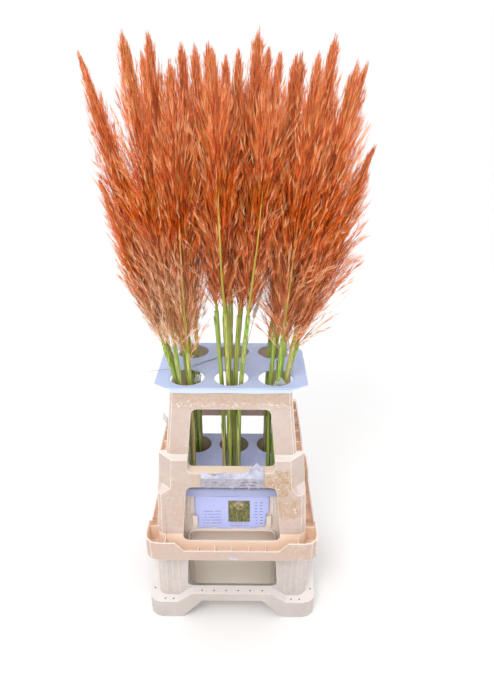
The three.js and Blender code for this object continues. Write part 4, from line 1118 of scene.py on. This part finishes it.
def paper_print():
    """White crumpled paper, greyer on its lower part, with smudges for print."""
    shader = Shader("crumpled_paper", 0.6)
    lit = shader.noise(55, 4, 0.6).ramp((0.3, (166, 166, 190)), (0.7, (222, 222, 238)))
    grey = shader.noise(75, 4, 0.6).ramp((0.3, (152, 148, 162)), (0.7, (190, 186, 198)))
    edge = shader.place()[2] + shader.noise(30) * 12
    body = lit.mixed(edge < PAPER_GREY_BELOW, grey)
    area = shader.block((-52, -6), (434, 450)) + shader.block((16, 66), (432, 444))
    letters = shader.rows_of_print(9, 0.34, shader.noise(120, 3, stretch=(1, 1, 0.3)), 0.5)
    return shader.finished(body.mixed(area * letters * 0.8, (112, 92, 104)))


def band_face(z):
    """How far forward the front band of the upper tier is at a height."""
    return 169 + 4 * (505 - z) / 85


def torn_paper():
    """A torn label, crumpled, with one corner folded up in a peak."""
    columns, rows = 121, 25
    u, v = unit_grid(columns, rows)
    ragged = 3 * np.sin(u * 23) + 2 * np.sin(u * 51) + 0.9 * np.sin(u * 131)
    peak = PAPER_PEAK * (1 - abs(u - 0.88) / 0.18).clip(0, 1)
    upper = PAPER_TOP + 6 * u + peak + 0.6 * ragged
    lower = PAPER_FOOT + 1.6 * np.sin(u * 47) + 1.2 * np.sin(u * 119) + 2 * (u > 0.6) * np.sin(u * 80)
    z = lower + (upper - lower) * v
    rng = np.random.default_rng(7)
    crease = 2.2 + 2 * np.sin(u * 17 + v * 4) * np.sin(v * 7 + u * 3)
    for _ in range(PAPER_FOLDS):
        slope, shift = rng.uniform(-3, 3), rng.uniform(-0.5, 1.5)
        fold = abs(u * 4 + slope * (v - 0.5) - shift * 4) % 1.3
        crease += 2.2 * (abs(fold - 0.65) - 0.32) * (0.2 + 0.8 * v)
    lift = (v - 0.55).clip(0) * 9 * np.exp(-(((u - 0.86) / 0.12) ** 2))
    y = -band_face(z) - crease.clip(0.5) - lift
    points = np.stack([PAPER_LEFT + PAPER_WIDTH * u, y, z], -1)
    piece = new_mesh("torn_paper_sheet", points, grid_faces(columns, rows), paper_print())
    thicken(piece, 0.25)
    piece.data.set_sharp_from_angle(angle=math.radians(24))
    add_piece(piece, "label_paper", "torn_paper")


FILM_SCRAPS = {
    "film_in_right_hole": [(100, -110, 682), (138, -104, 686), (120, -96, 706), (116, -97, 705)],
    "film_in_left_hole": [(-94, -84, 680), (-76, -78, 683), (-74, -72, 696), (-88, -78, 698)],
    "film_on_neck": [(-159, -98, 572), (-160, -113, 578), (-176, -105, 586), (-170, -94, 600)],
}


def film_scrap(name, corners, seed, material):
    """A small crumpled scrap of clear film between four corners."""
    rng = np.random.default_rng(seed)
    size = 13
    u, v = unit_grid(size, size)
    a, b, c, d = np.array(corners, float)
    shares = ((1 - u) * (1 - v), u * (1 - v), u * v, (1 - u) * v)
    flat = sum(share[..., None] * corner for share, corner in zip(shares, (a, b, c, d)))
    bumps = sum(
        rng.uniform(0.4, 1.3) * np.sin(u * rng.uniform(2, 11) + v * rng.uniform(2, 11) + rng.uniform(0, 6))
        for _ in range(6)
    )
    points = flat + normalised(np.cross(b - a, d - a)) * bumps[..., None]
    piece = new_mesh(name, points, grid_faces(size, size), material)
    thicken(piece, 0.2)
    add_piece(piece, "label_paper")


label_card()
torn_paper()
FILM = Shader("clear_film", 0.18, IOR=1.45, Transmission_Weight=0.65).finished((240, 244, 248))
for seed, (name, corners) in enumerate(FILM_SCRAPS.items(), 1):
    film_scrap(name, corners, seed, FILM)

# ---------------------------------------- sprig, blades and water


def straw(name, pale, deep):
    shader = Shader(name, 0.6)
    fibre = shader.noise(380, 3, stretch=(1, 1, 0.05))
    return shader.finished(fibre.ramp((0.35, deep), (0.62, pale)), bump=(fibre, 0.3, 0.0003))


FLORETS = 130
FLORET_RADIUS, FLORET_SIDES = 2.1, 5
LOWEST_FLORET = 796


def dry_sprig():
    """A thin pale stalk with a head of small white florets."""
    low, high = SPRIG_CENTRES[[0, -1], 2]
    z = np.linspace(low, high - 2, 60)
    spine = along_line(SPRIG_CENTRES, SPRIG_CENTRES[:, 2], z)
    spine[:, 2] = z
    radii = np.interp(z, [low, high], [1.5, 0.5])
    points, faces = tubes(spine[None], radii, 8, aside=(0.31, 0.17, 1.0))
    material = straw("straw_stalk", (206, 184, 138), (168, 138, 86))
    add_piece(new_mesh("dry_sprig_stalk", points, faces, material), "dry_sprig", "dry_sprig")
    rng = np.random.default_rng(11)
    at = np.linspace(0, 1, FLORETS)
    root = along_line(spine, z, LOWEST_FLORET + at * (high - LOWEST_FLORET - 4))
    bulge = 3.4 + 3.2 * np.sin(at * 3 * np.pi) ** 2 * (1 - 0.5 * at)
    out = np.concatenate([around(np.arange(FLORETS) * GOLDEN_ANGLE), np.full((FLORETS, 1), 1.1)], -1)
    out = normalised(out + rng.normal(0, 0.12, out.shape))
    flank = normalised(np.cross(out, [0, 0, 1.0]))
    across = np.cross(out, flank)
    length = (bulge * rng.uniform(1.2, 1.8, FLORETS))[:, None]
    waist = root + out * length * 0.55
    i = np.arange(FLORET_SIDES)
    ring = [
        waist + (flank * math.cos(t) + across * math.sin(t)) * FLORET_RADIUS
        for t in i * 2 * np.pi / FLORET_SIDES
    ]
    points = np.stack([root, *ring, root + out * length * 1.25], 1)
    near, far = 1 + i, 1 + (i + 1) % FLORET_SIDES
    fans = np.concatenate([
        np.stack([0 * i, far, near], -1), np.stack([0 * i + FLORET_SIDES + 1, near, far], -1),
    ])
    faces = repeat_faces(fans, FLORETS, FLORET_SIDES + 2)
    material = straw("floret_white", (255, 252, 246), (236, 228, 214))
    add_piece(new_mesh("dry_sprig_head", points, faces, material), "dry_sprig")


# Each blade: the line that it follows, its greatest half-width, and the CAD nodes that it stands for.
BLADES = [
    ([(-31, 39, 690.4), (-52, 24, 691.4), (-78, 4, 691.6), (-106, -20, 690.6)], 1.4, ["loose_blade"]),
    ([(-160, -34, 690.8), (-176, -40, 691.5), (-194, -48, 693), (-212, -52, 692)], 0.8, []),
]
BLADE_POINTS = 24


def loose_blades():
    """Two dry grass blades that lie on the upper sheet."""
    material = straw("dry_blade", (150, 150, 96), (92, 96, 62))
    t = np.linspace(0, 1, BLADE_POINTS)
    for index, (path, width, nodes) in enumerate(BLADES, 1):
        line = along_line(np.array(path, float), np.linspace(0, 1, len(path)), t)
        for _ in range(8):
            line[1:-1] = (line[:-2] + line[2:] + 2 * line[1:-1]) / 4
        side = normalised(np.cross(np.gradient(line, axis=0), [0, 0, 1.0]))
        half = (width * np.sin(np.pi * (0.06 + 0.9 * t)) ** 0.6)[:, None]
        grid = np.stack([line - side * half, line - [0, 0, 0.25], line + side * half], 1)
        piece = new_mesh(f"dry_blade_{index}", grid, grid_faces(BLADE_POINTS, 3), material)
        thicken(piece, 0.3)
        add_piece(piece, "grass_blade", *nodes)


dry_sprig()
loose_blades()
WATER = Shader("water", 0.03, IOR=1.33, Transmission_Weight=1.0)
NODES["water"].data.materials.clear()
NODES["water"].data.materials.append(
    WATER.finished((226, 236, 228), bump=(WATER.noise(30, 2), 0.05, 0.001))
)

# ---------------------------------------- stage, light and camera

FLOOR = new_mesh(
    "floor", [[-6000, -3000, -0.5], [6000, -3000, -0.5], [6000, 9000, -0.5], [-6000, 9000, -0.5]],
    [[0, 1, 2, 3]], Shader("floor", 0.85).finished((254, 254, 254)),
)


def white_world():
    """Even white light from all round."""
    world = bpy.data.worlds.new("soft_white")
    bpy.context.scene.world = world
    world.use_nodes = True
    world.node_tree.nodes["Background"].inputs["Color"].default_value = (1, 1, 1, 1)


def key_light(place, aim):
    """A soft light from above the photographer's left shoulder."""
    data = bpy.data.lights.new("key", "AREA")
    data.energy = 42
    data.size = 1.2
    light = bpy.data.objects.new("key", data)
    light.location = place
    light.rotation_euler = (Vector(aim) - Vector(place)).to_track_quat("-Z", "Y").to_euler()
    bpy.context.scene.collection.objects.link(light)


CAMERA_PLACE = (0.04825, -1.2993, 1.3446)
CAMERA_PITCH, CAMERA_YAW, CAMERA_ROLL = 0.4418, -0.00769, 0.00188
FOCAL_PIXELS, LONG_SIDE_PIXELS = 556.18, 700
SENSOR = 36.0


def photo_camera():
    """The photograph's viewpoint. The picture is 494 by 700, so the lens belongs to its height."""
    data = bpy.data.cameras.new("camera")
    data.sensor_fit = "AUTO"
    data.sensor_width = SENSOR
    data.lens = FOCAL_PIXELS / LONG_SIDE_PIXELS * SENSOR
    data.clip_start, data.clip_end = 0.05, 60
    camera = bpy.data.objects.new("camera", data)
    turn = Matrix.Rotation(-CAMERA_YAW, 4, "Z") @ Matrix.Rotation(math.pi / 2 - CAMERA_PITCH, 4, "X")
    turn = turn @ Matrix.Rotation(CAMERA_ROLL, 4, "Z")
    camera.matrix_world = Matrix.Translation(CAMERA_PLACE) @ turn
    bpy.context.scene.collection.objects.link(camera)
    bpy.context.scene.camera = camera


white_world()
bpy.context.scene.view_settings.view_transform = "Standard"
key_light((-1.0, -2.4, 3.6), (0, 0, 0.9))
photo_camera()
